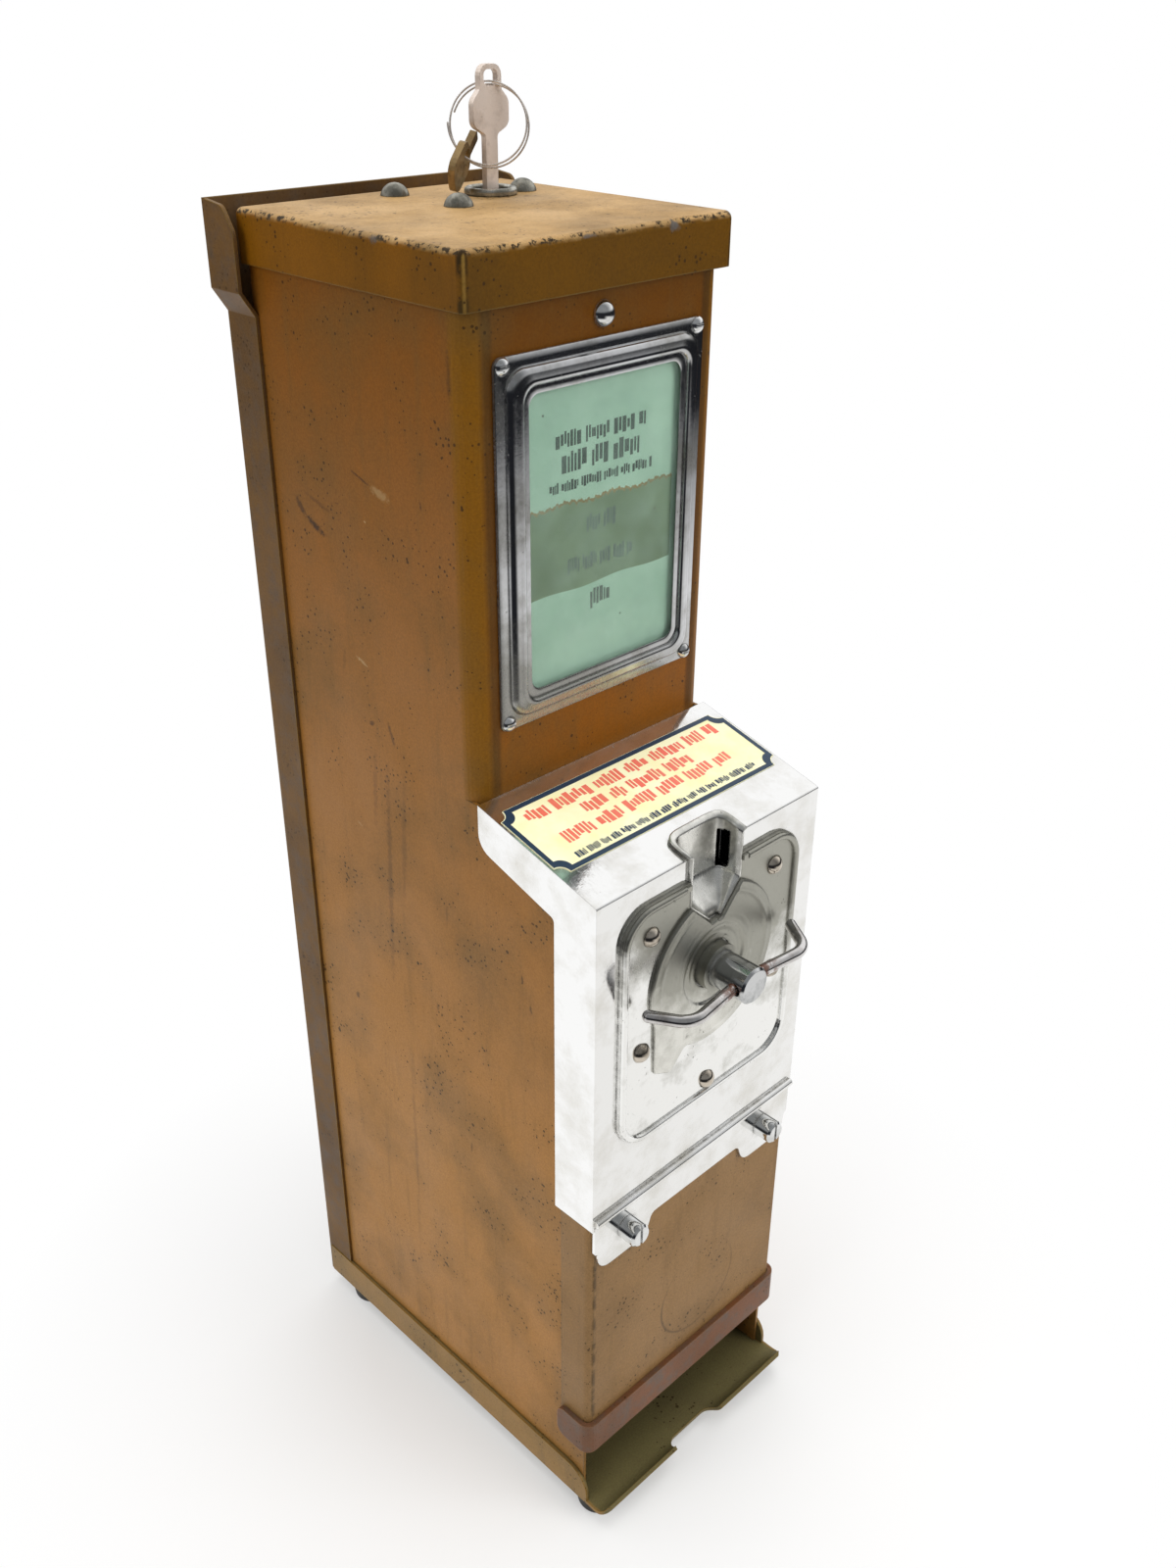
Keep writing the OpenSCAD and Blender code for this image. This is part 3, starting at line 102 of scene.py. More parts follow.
def grid_faces(rows, cols, wrap_rows=False, wrap_cols=False):
    """Four neighbours make a face: (i, j), (i + 1, j), (i + 1, j + 1), (i, j + 1)."""
    i = np.arange(rows if wrap_rows else rows - 1)[:, None]
    j = np.arange(cols if wrap_cols else cols - 1)[None, :]
    i_next, j_next = (i + 1) % rows, (j + 1) % cols
    corners = [i * cols + j, i_next * cols + j, i_next * cols + j_next, i * cols + j_next]
    return np.stack(corners, -1).reshape(-1, 4)


print("faces in a 3 by 4 grid:", len(grid_faces(3, 4)))

# %% Make a piece of an array mesh


def make_piece(name, points, faces, finish, body, replaces=(), sharp=40):
    """A mesh in the frame's metres, with its normals turned outwards, on its body."""
    mesh = bpy.data.meshes.new(name)
    mesh.from_pydata(np.asarray(points, float).tolist(), [], [list(f) for f in faces])
    work = bmesh.new()
    work.from_mesh(mesh)
    bmesh.ops.remove_doubles(work, verts=work.verts, dist=1e-7)
    bmesh.ops.recalc_face_normals(work, faces=work.faces)
    work.to_mesh(mesh)
    work.free()
    mesh.shade_smooth()
    mesh.set_sharp_from_angle(angle=math.radians(sharp))
    piece = bpy.data.objects.new(name, mesh)
    bpy.context.scene.collection.objects.link(piece)
    mesh.materials.append(finish)
    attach(piece, body)
    if replaces:
        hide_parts(*replaces)
    print(name, "has", len(mesh.polygons), "faces")
    return piece


# %% [markdown]
# ## Finishes
# Each finish starts from what the real one is. Patterns are drawn on Object coordinates
# times 1000, so that a noise of scale 1 / n has features about n millimetres across.

# %% Colours and nodes


def srgb(text, alpha=1.0):
    """An sRGB hex value as linear light: (c + 0.055) / 1.055 to the power 2.4."""
    c = np.array([int(text[i:i + 2], 16) for i in (1, 3, 5)]) / 255
    linear = np.where(c <= 0.04045, c / 12.92, ((c + 0.055) / 1.055) ** 2.4)
    return (*linear.tolist(), alpha)


def add(tree, kind, inputs=None, out=0, **settings):
    """Adds one node, sets its settings, fills or links its inputs, returns one output."""
    made = tree.nodes.new("ShaderNode" + kind)
    for key, value in settings.items():
        setattr(made, key, value)
    for key, value in (inputs or {}).items():
        if isinstance(value, bpy.types.NodeSocket):
            tree.links.new(value, made.inputs[key])
        else:
            made.inputs[key].default_value = value
    return made.outputs[out]


def new_finish(name):
    """A material, its node tree, its shader and the place in mm on the piece."""
    finish = bpy.data.materials.new(name)
    finish.use_nodes = True
    tree = finish.node_tree
    shader = tree.nodes["Principled BSDF"]
    place = add(tree, "TexCoord", out="Object")
    place = add(tree, "VectorMath", {0: place, 1: (1000, 1000, 1000)}, operation="MULTIPLY")
    return finish, tree, shader, place


print("bronze in linear light:", [round(v, 3) for v in srgb("#8a5e30")[:3]])

# %% [markdown]
# ### Where edges rub bare
# Paint and plate wear off along the edges first. The Bevel node gives a normal that is
# rounded near an edge, so where it differs from the true normal, there is an edge close
# by. A noise breaks the line up into chips.

# %% Masks for edges and scratches


def noise(tree, place, size, detail=5.0, low=None, high=None, to=(0.0, 1.0)):
    """Noise with features about size mm across, stretched from low..high to a range."""
    made = add(tree, "TexNoise", {"Vector": place, "Scale": 1 / size, "Detail": detail,
                                  "Roughness": 0.62})
    return made if low is None else ramp(tree, made, low, high, to)


def ramp(tree, value, low, high, to=(0.0, 1.0)):
    """A value mapped in a straight line from low..high to a range, and held there."""
    return add(tree, "MapRange", {"Value": value, "From Min": low, "From Max": high,
                                  "To Min": to[0], "To Max": to[1]})


def math_node(tree, operation, *values):
    return add(tree, "Math", dict(enumerate(values)), operation=operation)


def times(tree, first, second):
    return math_node(tree, "MULTIPLY", first, second)


def blend(tree, factor, first, second, mode="MIX"):
    """Colour between two: each is an sRGB text or another node's output."""
    pair = [srgb(c) if isinstance(c, str) else c for c in (first, second)]
    return add(tree, "Mix", {0: factor, 6: pair[0], 7: pair[1]}, out=2, data_type="RGBA",
               blend_type=mode)


def split(tree, place):
    """The x, y and z of a place, as outputs."""
    add(tree, "SeparateXYZ", {0: place})
    return tree.nodes[-1].outputs


def edge_wear(tree, place, width, size, start, end):
    """1 on rubbed edges: the two normals' difference times a noise, start to end."""
    soft = add(tree, "Bevel", {"Radius": width * MM}, samples=4)
    true = add(tree, "NewGeometry", out="True Normal")
    same = add(tree, "VectorMath", {0: soft, 1: true}, out="Value", operation="DOT_PRODUCT")
    near = ramp(tree, same, 1.0, 0.72)
    return ramp(tree, times(tree, near, noise(tree, place, size, 8.0)), start, end)


def stroke(tree, place, start, end, width, soft=0.6):
    """1 inside a long ellipsoid between two wall points, ragged by a fine noise."""
    first, last = (Vector((p[0], ORIGIN_OUT - p[1], p[2])) for p in (start, end))
    along = last - first
    turned = Vector((0, 0, 1)).rotation_difference(along).to_euler()
    ball = add(tree, "Mapping", {"Vector": place, "Location": (first + last) / 2,
                                 "Rotation": turned,
                                 "Scale": (width / 2, width / 2, along.length / 2)},
               vector_type="TEXTURE")
    far = add(tree, "VectorMath", {0: ball}, out="Value", operation="LENGTH")
    ragged = noise(tree, place, 1.6, 5.0, 0.3, 0.7, (-0.45, 0.45))
    return ramp(tree, math_node(tree, "ADD", far, ragged), 1.0, 1 - soft)


def strokes(tree, place, colour, ink, marks):
    """A colour with marks laid over it: each is (start, end, width, strength)."""
    for start, end, width, strength in marks:
        inside = times(tree, stroke(tree, place, start, end, width), strength)
        colour = blend(tree, inside, colour, ink)
    return colour


print("masks are ready")

# %% [markdown]
# ### Bronze enamel on sheet steel
# The case was sprayed with a bronze lacquer enamel, satin and a little metallic. Its colour
# is darker near the lid and lighter and yellower near the floor, a painted floor reflection.
# It is peppered with dark specks, streaked where drips ran, and chipped at its edges. The
# scratches are placed one by one, most of them at points read in the photograph. Specks and
# clouds fall as their noise has them.

# %% Worn enamel
SIDE_X = -52


def side_marks(*rows):
    """Each row: out and height of one end, the same of the other, width, strength."""
    return [((SIDE_X, a, b), (SIDE_X, c, d), width, strength)
            for a, b, c, d, width, strength in rows]


SIDE_MARKS = side_marks(
    (26, 376.5, 31, 369, 3, 0.55), (29.5, 371, 41.8, 365, 2.6, 0.8),
    (31, 378, 45, 374, 1.8, 0.3), (56.5, 391, 67, 387.5, 1.1, 0.6),
    (58.4, 306.5, 59.8, 304.8, 3.6, 0.55), (67.4, 309.5, 70.8, 300.5, 2.2, 0.5),
    (105.2, 436, 105.6, 417.5, 2.4, 0.35), (109.6, 358, 109.4, 349, 1.5, 0.7),
    (90.2, 389, 90.8, 385, 1.1, 0.6), (66.3, 300, 60.5, 197, 3.2, 0.3),
    (74.7, 292, 70, 235, 3, 0.24), (35.6, 183, 38.6, 180.5, 3.4, 0.6),
    (68.7, 171, 67.2, 84, 2.6, 0.22), (130.6, 241, 131.4, 236.5, 1.2, 0.6),
    (134.6, 231.5, 135.2, 226.5, 1.1, 0.55), (60, 300, 56.5, 262, 3, 0.22),
    (86, 205, 86.6, 200.5, 1.6, 0.35), (94, 251, 93.2, 240, 1.2, 0.25),
    (102, 150, 101.4, 144, 1.2, 0.4), (47, 330, 45, 318, 2, 0.2))
LIGHT_MARKS = side_marks(
    (66, 387.5, 77, 385, 3.6, 0.5), (52.5, 328, 58.5, 326, 1.6, 0.75),
    (62, 376, 63.2, 375.4, 0.9, 0.8), (46, 262.5, 49, 261.5, 1.2, 0.45))


def worn_enamel(name, high, low, stain, bare, rough=0.45, chip=(0.30, 0.36), metal=0.12,
                speck=0.8, recolour=None, bloom=None, marked=False):
    """Enamel from its high tone to its low one, the lower tone a painted floor reflection,
    with stains, specks and bare edges.
    """
    finish, tree, shader, place = new_finish(name)
    x, y, z = split(tree, place)
    # Painted light: the tone goes from high near the lid to low near the floor, a painted
    # reflection of the floor.
    colour = blend(tree, ramp(tree, z, 460.0, 140.0), high, low)
    if recolour:
        colour = recolour(tree, place, colour, x, y, z)
    # Clouds of a duller tone, and streaks stretched eight times down the sheet.
    down = add(tree, "VectorMath", {0: place, 1: (1, 1, 0.12)}, operation="MULTIPLY")
    clouds = times(tree, noise(tree, place, 38, 6.0, 0.44, 0.72), 0.55)
    colour = blend(tree, clouds, colour, stain)
    colour = blend(tree, noise(tree, down, 5, 6.0, 0.54, 0.8, (0.0, 0.4)), colour, stain)
    if bloom:
        colour = blend(tree, noise(tree, place, 7, 7.0, 0.46, 0.7), colour, bloom)
    colour = blend(tree, 1.0, colour, noise(tree, place, 0.7, 3.0, 0.3, 0.7, (0.86, 1.14)),
                   "MULTIPLY")
    # Specks: round cells, their radius set by a slower noise so that they come in flocks.
    for size, widest in ((2.2, 0.24), (6.0, 0.12), (13.0, 0.08)):
        dots = add(tree, "TexVoronoi", {"Vector": place, "Scale": 1 / size})
        grown = noise(tree, place, 19, 3.0, 0.42, 0.66, (0.0, widest))
        dots = times(tree, math_node(tree, "LESS_THAN", dots, grown), speck)
        colour = blend(tree, dots, colour, "#33230f")
    if marked:
        colour = strokes(tree, place, colour, "#231d18", SIDE_MARKS)
        colour = strokes(tree, place, colour, "#a88c60", LIGHT_MARKS)
    edge = edge_wear(tree, place, 1.1, 3.5, *chip)
    colour = blend(tree, edge, colour, bare)
    tree.links.new(colour, shader.inputs["Base Color"])
    tree.links.new(ramp(tree, edge, 0, 1, (metal, 0.8)), shader.inputs["Metallic"])
    shader.inputs["Specular IOR Level"].default_value = 0.2
    tree.links.new(noise(tree, place, 30, 5.0, 0.3, 0.7, (rough - 0.05, rough + 0.1)),
                   shader.inputs["Roughness"])
    height = math_node(tree, "SUBTRACT", noise(tree, place, 1.4, 4.0), edge)
    bump = add(tree, "Bump", {"Height": height, "Strength": 0.1, "Distance": 0.0004,
                              "Normal": add(tree, "Bevel", {"Radius": 0.35 * MM})})
    tree.links.new(bump, shader.inputs["Normal"])
    return finish


def out_from(tree, y):
    """The distance out from the wall in mm: the origin's distance less y."""
    return math_node(tree, "SUBTRACT", ORIGIN_OUT, y)


def case_painted_light(tree, place, colour, x, y, z):
    """Painted light: an ochre highlight on the round upright corners, a front above the coin
    unit painted darker in shade and darkest near the lid, and a painted shade line where each
    corner turns into the front.
    """
    side, out = math_node(tree, "ABSOLUTE", x), out_from(tree, y)
    above = ramp(tree, z, 292.0, 300.0)
    # Painted shade: the front above the coin unit is darker than the sides, as less light
    # falls on it, and darkest near the lid.
    front = times(tree, ramp(tree, out, 111.0, 112.5), above)
    colour = blend(tree, front, colour, blend(tree, ramp(tree, z, 440.0, 320.0),
                                              "#663c04", "#8a5209"))
    # Painted highlight: an ochre band down each round upright corner, where the bronze
    # shines.
    corner = times(tree, ramp(tree, side, 43.0, 47.5), ramp(tree, out, 104.5, 107.0))
    corner = times(tree, corner, above)
    colour = blend(tree, times(tree, corner, 0.85), colour, "#7d5204")
    # Painted shade: a dark line where each round corner turns into the front.
    painted_fold_shade = times(tree, ramp(tree, side, 42.0, 43.5), ramp(tree, side, 47.5, 45.5))
    painted_fold_shade = times(tree, times(tree, painted_fold_shade, front), 0.6)
    return blend(tree, painted_fold_shade, colour, "#33230c")


def lid_wear_and_painted_light(tree, place, colour, x, y, z):
    """A top painted lighter in light from above, a front painted darker in shade, edges
    rubbed to gold with dark specks, a dark joint at the corner and a painted highlight up the
    corner.
    """
    low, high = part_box("lid_cap")
    half, front, top = high.x / MM, ORIGIN_OUT - low.y / MM, high.z / MM
    side, out = math_node(tree, "ABSOLUTE", x), out_from(tree, y)
    # Painted shade: the lid's front is painted darker than its top and sides.
    forward = ramp(tree, out, front - 2.5, front - 0.5)
    colour = blend(tree, forward, colour, "#654203")
    # Painted light: the top face is painted a lighter, mottled tone where the light from
    # above falls.
    painted_top_light = blend(tree, noise(tree, place, 26, 6.0, 0.4, 0.66), "#bd9a69", "#a5824f")
    colour = blend(tree, ramp(tree, z, top - 1.5, top - 0.6), colour, painted_top_light)
    outer = math_node(tree, "MAXIMUM", ramp(tree, side, half - 1.9, half - 1.0),
                      ramp(tree, out, front - 1.9, front - 1.0))
    edge = times(tree, outer, ramp(tree, z, top - 2.2, top - 1.2))
    rubbed = times(tree, edge, noise(tree, place, 7, 8.0, 0.44, 0.62))
    colour = blend(tree, rubbed, colour, "#a38454")
    specks = times(tree, edge, noise(tree, place, 1.8, 4.0, 0.53, 0.58))
    colour = blend(tree, specks, colour, "#2c2212")
    corner = times(tree, ramp(tree, side, half - 2.6, half - 1.6),
                   ramp(tree, out, front - 2.6, front - 1.6))
    dark = times(tree, corner, noise(tree, place, 6, 6.0, 0.36, 0.5))
    colour = blend(tree, dark, colour, "#2b1f0c")
    # Painted highlight: a thin ochre line up the lid's upright front corner.
    thin = times(tree, ramp(tree, out, front - 0.9, front - 0.5),
                 ramp(tree, side, half - 1.7, half - 1.2))
    colour = blend(tree, times(tree, thin, 0.7), colour, "#a5813c")
    return strokes(tree, place, colour, "#5e5b58",
                   [((24.5, front, top - 1.6), (29.5, front, top - 1.8), 4.2, 0.9),
                    ((-half, 75.5, top - 1.2), (-half, 80.5, top - 1.4), 3.4, 0.8),
                    ((-11.5, front, top - 1.0), (-3.5, front, top - 0.9), 1.8, 0.8)])


def panel_tones(tree, place, colour, x, y, z):
    """A faint round scratch where a coin was dragged, and a dark line up the left."""
    CENTRE, RADIUS = (6.0, 80.5), 20.3
    ring = math_node(tree, "SUBTRACT", math_node(
        tree, "SQRT", math_node(tree, "ADD", *[
            math_node(tree, "POWER", math_node(tree, "SUBTRACT", v, c), 2.0)
            for v, c in zip((x, z), CENTRE)])), RADIUS)
    line = ramp(tree, math_node(tree, "ABSOLUTE", ring), 0.7, 0.15)
    line = times(tree, line, ramp(tree, x, -20.0, 24.0, (0.75, 0.35)))
    line = times(tree, line, ramp(tree, z, 98.0, 80.0))
    colour = blend(tree, line, colour, "#4f3c28")
    left = times(tree, ramp(tree, x, -49.4, -50.2), noise(tree, place, 5, 6.0, 0.42, 0.56))
    left = times(tree, left, ramp(tree, x, -51.6, -51.0))
    return blend(tree, times(tree, left, 0.75), colour, "#382811")


def tray_tones(tree, place, colour, x, y, z):
    """The outer walls keep the bronze; the trough inside has gone olive."""
    outer = ramp(tree, math_node(tree, "ABSOLUTE", x), 52.4, 53.2)
    return blend(tree, outer, colour, "#967441")


case_enamel = worn_enamel("bronze_lacquer_enamel", "#76450a", "#a5763d", "#5f4a26",
                          "#6a5c48", recolour=case_painted_light, marked=True)
panel_enamel = worn_enamel("bronze_enamel_tan", "#9a7040", "#927046", "#6c5230", "#75664c",
                           recolour=panel_tones)
lid_enamel = worn_enamel("bronze_enamel_lid", "#7a4d0a", "#7a4d0a", "#4b3510", "#8a7448",
                         recolour=lid_wear_and_painted_light, chip=(0.34, 0.42))
bracket_enamel = worn_enamel("bracket_dark_enamel", "#6b4e2c", "#6b4a18", "#44362a",
                             "#9a7a3a", chip=(0.3, 0.4), bloom="#5c4a38", speck=0.5)
tray_enamel = worn_enamel("tray_olive_enamel", "#6f6644", "#6d6440", "#5d5338", "#97783a",
                          chip=(0.22, 0.32), recolour=tray_tones)
strap_enamel = worn_enamel("coppered_strap", "#83573b", "#7a4f33", "#5d4a3c", "#9a7455",
                           rough=0.4, metal=0.3, chip=(0.27, 0.38), bloom="#66564a")

# %% [markdown]
# ### Chromium and nickel plate
# Plated sheet mirrors the white studio. Age shows as dull clouds, fine rub marks, brown
# dirt in the creases and dark pits where the plate has lifted.

# %% Worn plate


def worn_plate(name, clean, dull, dirt, rough=(0.08, 0.3), cloud=(0.45, 0.7), size=18,
               pits=0.06, scuff=0.5, crease=0.0, old=None, rust=None, metal=1.0):
    """old is (from z, to z): plate that is duller towards that height; rust likewise
    is (half width in mm) round the middle, where a wire comes out of its spindle."""
    finish, tree, shader, place = new_finish(name)
    x, y, z = split(tree, place)
    clouds = noise(tree, place, size, 9.0, *cloud)
    if old:
        aged = noise(tree, place, 14, 6.0, 0.3, 0.7, (-0.3, 0.3))
        tilted = math_node(tree, "ADD", z, times(tree, x, 0.35))
        aged = math_node(tree, "ADD", ramp(tree, tilted, *old), aged)
        clouds = math_node(tree, "MAXIMUM", clouds, ramp(tree, aged, 0.2, 0.8))
    colour = blend(tree, clouds, clean, dull)
    limit = noise(tree, place, 12, 3.0, 0.35, 0.65, (0.82, 0.68 - pits))
    specks = math_node(tree, "SUBTRACT", noise(tree, place, 1.1, 5.0), limit)
    specks = ramp(tree, specks, 0.0, 0.05)
    if crease:
        shut = add(tree, "AmbientOcclusion", {"Distance": 3.5 * MM}, out="AO", samples=6)
        shut = times(tree, ramp(tree, shut, 0.75, 0.3),
                     noise(tree, place, 2.5, 6.0, 0.3, 0.6))
        specks = math_node(tree, "MAXIMUM", specks, times(tree, shut, crease))
    if rust:
        near = times(tree, ramp(tree, math_node(tree, "ABSOLUTE", x), rust, rust * 0.4),
                     noise(tree, place, 2.5, 6.0, 0.42, 0.55))
        colour = blend(tree, near, colour, "#7a4630")
        specks = math_node(tree, "MAXIMUM", specks, times(tree, near, 0.6))
    tree.links.new(blend(tree, specks, colour, dirt), shader.inputs["Base Color"])
    tree.links.new(ramp(tree, specks, 0, 1, (metal, 0.35)), shader.inputs["Metallic"])
    # Rub marks: a noise stretched along one slanted direction reads as fine scratches.
    slant = add(tree, "Mapping", {"Vector": place, "Rotation": (0.3, 0.5, 0.6),
                                  "Scale": (1.6, 0.12, 0.9)})
    rub = noise(tree, slant, 1.0, 6.0, 0.5, 0.8, (0.0, scuff))
    gloss = math_node(tree, "ADD", ramp(tree, clouds, 0, 1, rough), rub)
    gloss = math_node(tree, "ADD", gloss, times(tree, specks, 0.5))
    tree.links.new(gloss, shader.inputs["Roughness"])
    height = math_node(tree, "SUBTRACT", noise(tree, place, 2.2), specks)
    bump = add(tree, "Bump", {"Height": height, "Strength": 0.08, "Distance": 0.0002,
                              "Normal": add(tree, "Bevel", {"Radius": 0.3 * MM})})
    tree.links.new(bump, shader.inputs["Normal"])
    return finish


unit_plate = worn_plate("unit_bright_chrome", "#f9f9f8", "#e4e2dc", "#7d776a",
                        rough=(0.05, 0.16), scuff=0.14, pits=0.0, crease=0.8)
coin_plate_finish = worn_plate("coin_plate_chrome", "#fbfbf9", "#b0afa5", "#4c4a3f",
                               rough=(0.07, 0.34), cloud=(0.52, 0.8), scuff=0.16,
                               crease=0.9, old=(222.0, 262.0))
cover_nickel = worn_plate("cover_dull_nickel", "#e9e8e1", "#aeada3", "#45433a",
                          rough=(0.12, 0.38), cloud=(0.5, 0.75), scuff=0.2,
                          crease=0.8, old=(212.0, 236.0))
handle_chrome = worn_plate("handle_chrome", "#dddbda", "#b0aaa6", "#5d4538",
                           rough=(0.05, 0.2), scuff=0.08, size=8, rust=17.0)
spindle_chrome = worn_plate("spindle_chrome", "#d3d4d5", "#9fa2a2", "#4f4f4a",
                            rough=(0.08, 0.25), scuff=0.1, size=6, crease=0.9)
scoop_nickel = worn_plate("scoop_stained_nickel", "#f6f5ef", "#bdbcb3", "#3f3d35",
                          rough=(0.25, 0.45), size=9, scuff=0.15, crease=0.8)
bright_chrome = worn_plate("bright_small_chrome", "#eceded", "#bdbdbb", "#4c4a44",
                           rough=(0.03, 0.14), scuff=0.05, size=8, crease=0.6)
frame_chrome = worn_plate("frame_chrome", "#cbccce", "#a3a29d", "#4a4842",
                          rough=(0.05, 0.26), scuff=0.12, crease=0.9,
                          old=(350.0, 322.0))
rivet_nickel = worn_plate("rivet_warm_nickel", "#d3c9bb", "#8f8576", "#3c342a",
                          rough=(0.1, 0.28), size=5, scuff=0.1, crease=0.9)
lid_rivet_finish = worn_plate("rivet_oxidised", "#a9a69a", "#75736a", "#4f4d42",
                              rough=(0.22, 0.42), size=4, cloud=(0.35, 0.6), pits=0.1,
                              metal=0.9)
lock_nickel = worn_plate("lock_pitted_nickel", "#d0cec4", "#96948a", "#353228",
                         rough=(0.22, 0.45), size=4, pits=0.14, cloud=(0.38, 0.6),
                         crease=0.7)
key_nickel = worn_plate("key_rubbed_nickel", "#efe0d4", "#c9b9ac", "#453a30",
                        rough=(0.34, 0.5), size=6, pits=0.02, old=(474.0, 468.0),
                        metal=0.4)
ring_steel = worn_plate("ring_bright_steel", "#e6dfd8", "#c4bbb3", "#57493d",
                        rough=(0.2, 0.35), size=6, pits=0.0, metal=0.7)
spare_brass = worn_plate("spare_key_brass", "#9a8158", "#6b5940", "#33291c",
                         rough=(0.3, 0.5), size=6, metal=0.6)
plain_steel = worn_plate("plain_steel", "#a9a9a7", "#8b8b88", "#55524c",
                         rough=(0.25, 0.4), size=25, scuff=0.1)

# %% Rubber, glass, card and label paper
foot_rubber, tree, shader, place = new_finish("black_rubber")
shade = add(tree, "TexNoise", {"Vector": place, "Scale": 1 / 3, "Detail": 5.0})
tree.links.new(blend(tree, shade, "#151413", "#2b2926"), shader.inputs["Base Color"])
shader.inputs["Roughness"].default_value = 0.7

window_glass, tree, shader, place = new_finish("dusty_window_glass")
dust = add(tree, "TexNoise", {"Vector": place, "Scale": 1 / 9, "Detail": 7.0})
dust = ramp(tree, dust, 0.4, 0.75, (0.05, 0.14))
shader.inputs["Base Color"].default_value = srgb("#b9d8c8")
shader.inputs["Roughness"].default_value = 0.06
tree.links.new(dust, shader.inputs["Alpha"])


def paper(name, light, dark, speck, rough=0.6):
    finish, tree, shader, place = new_finish(name)
    colour = blend(tree, noise(tree, place, 16, 7.0, 0.38, 0.68), light, dark)
    dots = add(tree, "TexVoronoi", {"Vector": place, "Scale": 1 / 9})
    dots = math_node(tree, "LESS_THAN", dots, 0.045)
    tree.links.new(blend(tree, dots, colour, speck), shader.inputs["Base Color"])
    shader.inputs["Roughness"].default_value = rough
    fibre = add(tree, "TexNoise", {"Vector": place, "Scale": 1 / 0.5, "Detail": 4.0})
    bump = add(tree, "Bump", {"Height": fibre, "Strength": 0.1, "Distance": 0.0001})
    tree.links.new(bump, shader.inputs["Normal"])
    return finish


card_paper = paper("green_card", "#9fc0aa", "#8fb29b", "#4c5a4c")
band_paper = paper("torn_band_paper", "#5f7356", "#71876a", "#4c4d38")
torn_fibre = paper("torn_edge_fibre", "#8a7a4e", "#6f6238", "#4c4128")
label_paper = paper("label_cream_print", "#fffbd2", "#fdf2b4", "#c0b068", rough=0.38)
navy_ink = paper("label_navy_ink", "#1e3247", "#243a50", "#1a2836", rough=0.4)
coral_ink = paper("label_coral_ink", "#f2705a", "#ee8068", "#c9523f", rough=0.4)
card_ink = paper("card_black_ink", "#1f2a24", "#2c3831", "#1a211d", rough=0.5)
grey_ink = paper("card_grey_ink", "#4c5a50", "#57665b", "#3c463f", rough=0.5)
print("finishes:", len(bpy.data.materials))

# %% Give each CAD node its finish
FINISHES = {
    case_enamel: ["case_shell", "packet_shelf", "coin_shelf"],
    panel_enamel: ["lower_panel"],
    lid_enamel: ["lid_cap"],
    bracket_enamel: ["wall_bracket"],
    tray_enamel: ["tray"],
    strap_enamel: ["guard_strap"],
    unit_plate: ["unit_housing", "tab_strip"],
    bright_chrome: ["stud_left", "stud_right", "dome_bolt"]
    + [f"sign_screw_{i}" for i in (1, 2, 3, 4)],
    coin_plate_finish: ["coin_plate"],
    cover_nickel: ["coin_pocket", "coin_cover", "spindle_bushing"],
    handle_chrome: ["handle_wire"],
    spindle_chrome: ["spindle"],
    frame_chrome: ["sign_frame"],
    rivet_nickel: [f"plate_rivet_{i}" for i in (1, 2, 3, 4, 5)],
    lid_rivet_finish: [f"lid_rivet_{i}" for i in (1, 2, 3)],
    lock_nickel: ["lock_body", "lock_plug"],
    key_nickel: ["key", "key_ring"],
    spare_brass: ["spare_key"],
    foot_rubber: [f"foot_{a}_{b}" for a in ("rear", "front") for b in ("left", "right")],
    window_glass: ["sign_glass"],
    card_paper: ["sign_card"],
    label_paper: ["label"],
}
for node_name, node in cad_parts.items():
    found = [f for f, names in FINISHES.items() if node_name in names]
    node.data.materials.clear()
    node.data.materials.append(found[0] if found else plain_steel)
print("nodes with a finish:", len(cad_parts))

# %% [markdown]
# ## Outlines that shrink
# A pressed border is a stack of outlines: each lies a little further in than the last
# and at its own height, so one function serves the frame and the bead.

# %% Rounded outlines


def rounded_outline(half_x, half_z, radius, steps=10):
    """Corner centres plus radius times (cos, sin), a quarter turn for each corner."""
    angle = np.radians(np.linspace(0, 90, steps + 1))
    quarter = np.array([0, 1, 2, 3])[:, None] * np.pi / 2 + angle[None, :]
    sign_x = np.array([1, -1, -1, 1])[:, None]
    sign_z = np.array([1, 1, -1, -1])[:, None]
    x = sign_x * (half_x - radius) + radius * np.cos(quarter)
    z = sign_z * (half_z - radius) + radius * np.sin(quarter)
    return np.stack([x, z], -1).reshape(-1, 2)


def outline_stack(half, centre, base_out, rings, steps=10):
    """Each ring is (inset, height, radius): the outline of the shrunken rectangle."""
    made = [rounded_outline(half[0] - i, half[1] - i, r, steps) for i, _, r in rings]
    x = np.stack([m[:, 0] for m in made]) + centre[0]
    z = np.stack([m[:, 1] for m in made]) + centre[1]
    out = base_out + np.array([h for _, h, _ in rings])[:, None] + 0 * x
    return from_wall(np.stack([x, out, z], -1))


# %% [markdown]
# ## Sign frame
# The frame is one pressing: a thin flange with the screws, a rolled ridge, and a flat
# band that slopes in to a bright lip round the window.

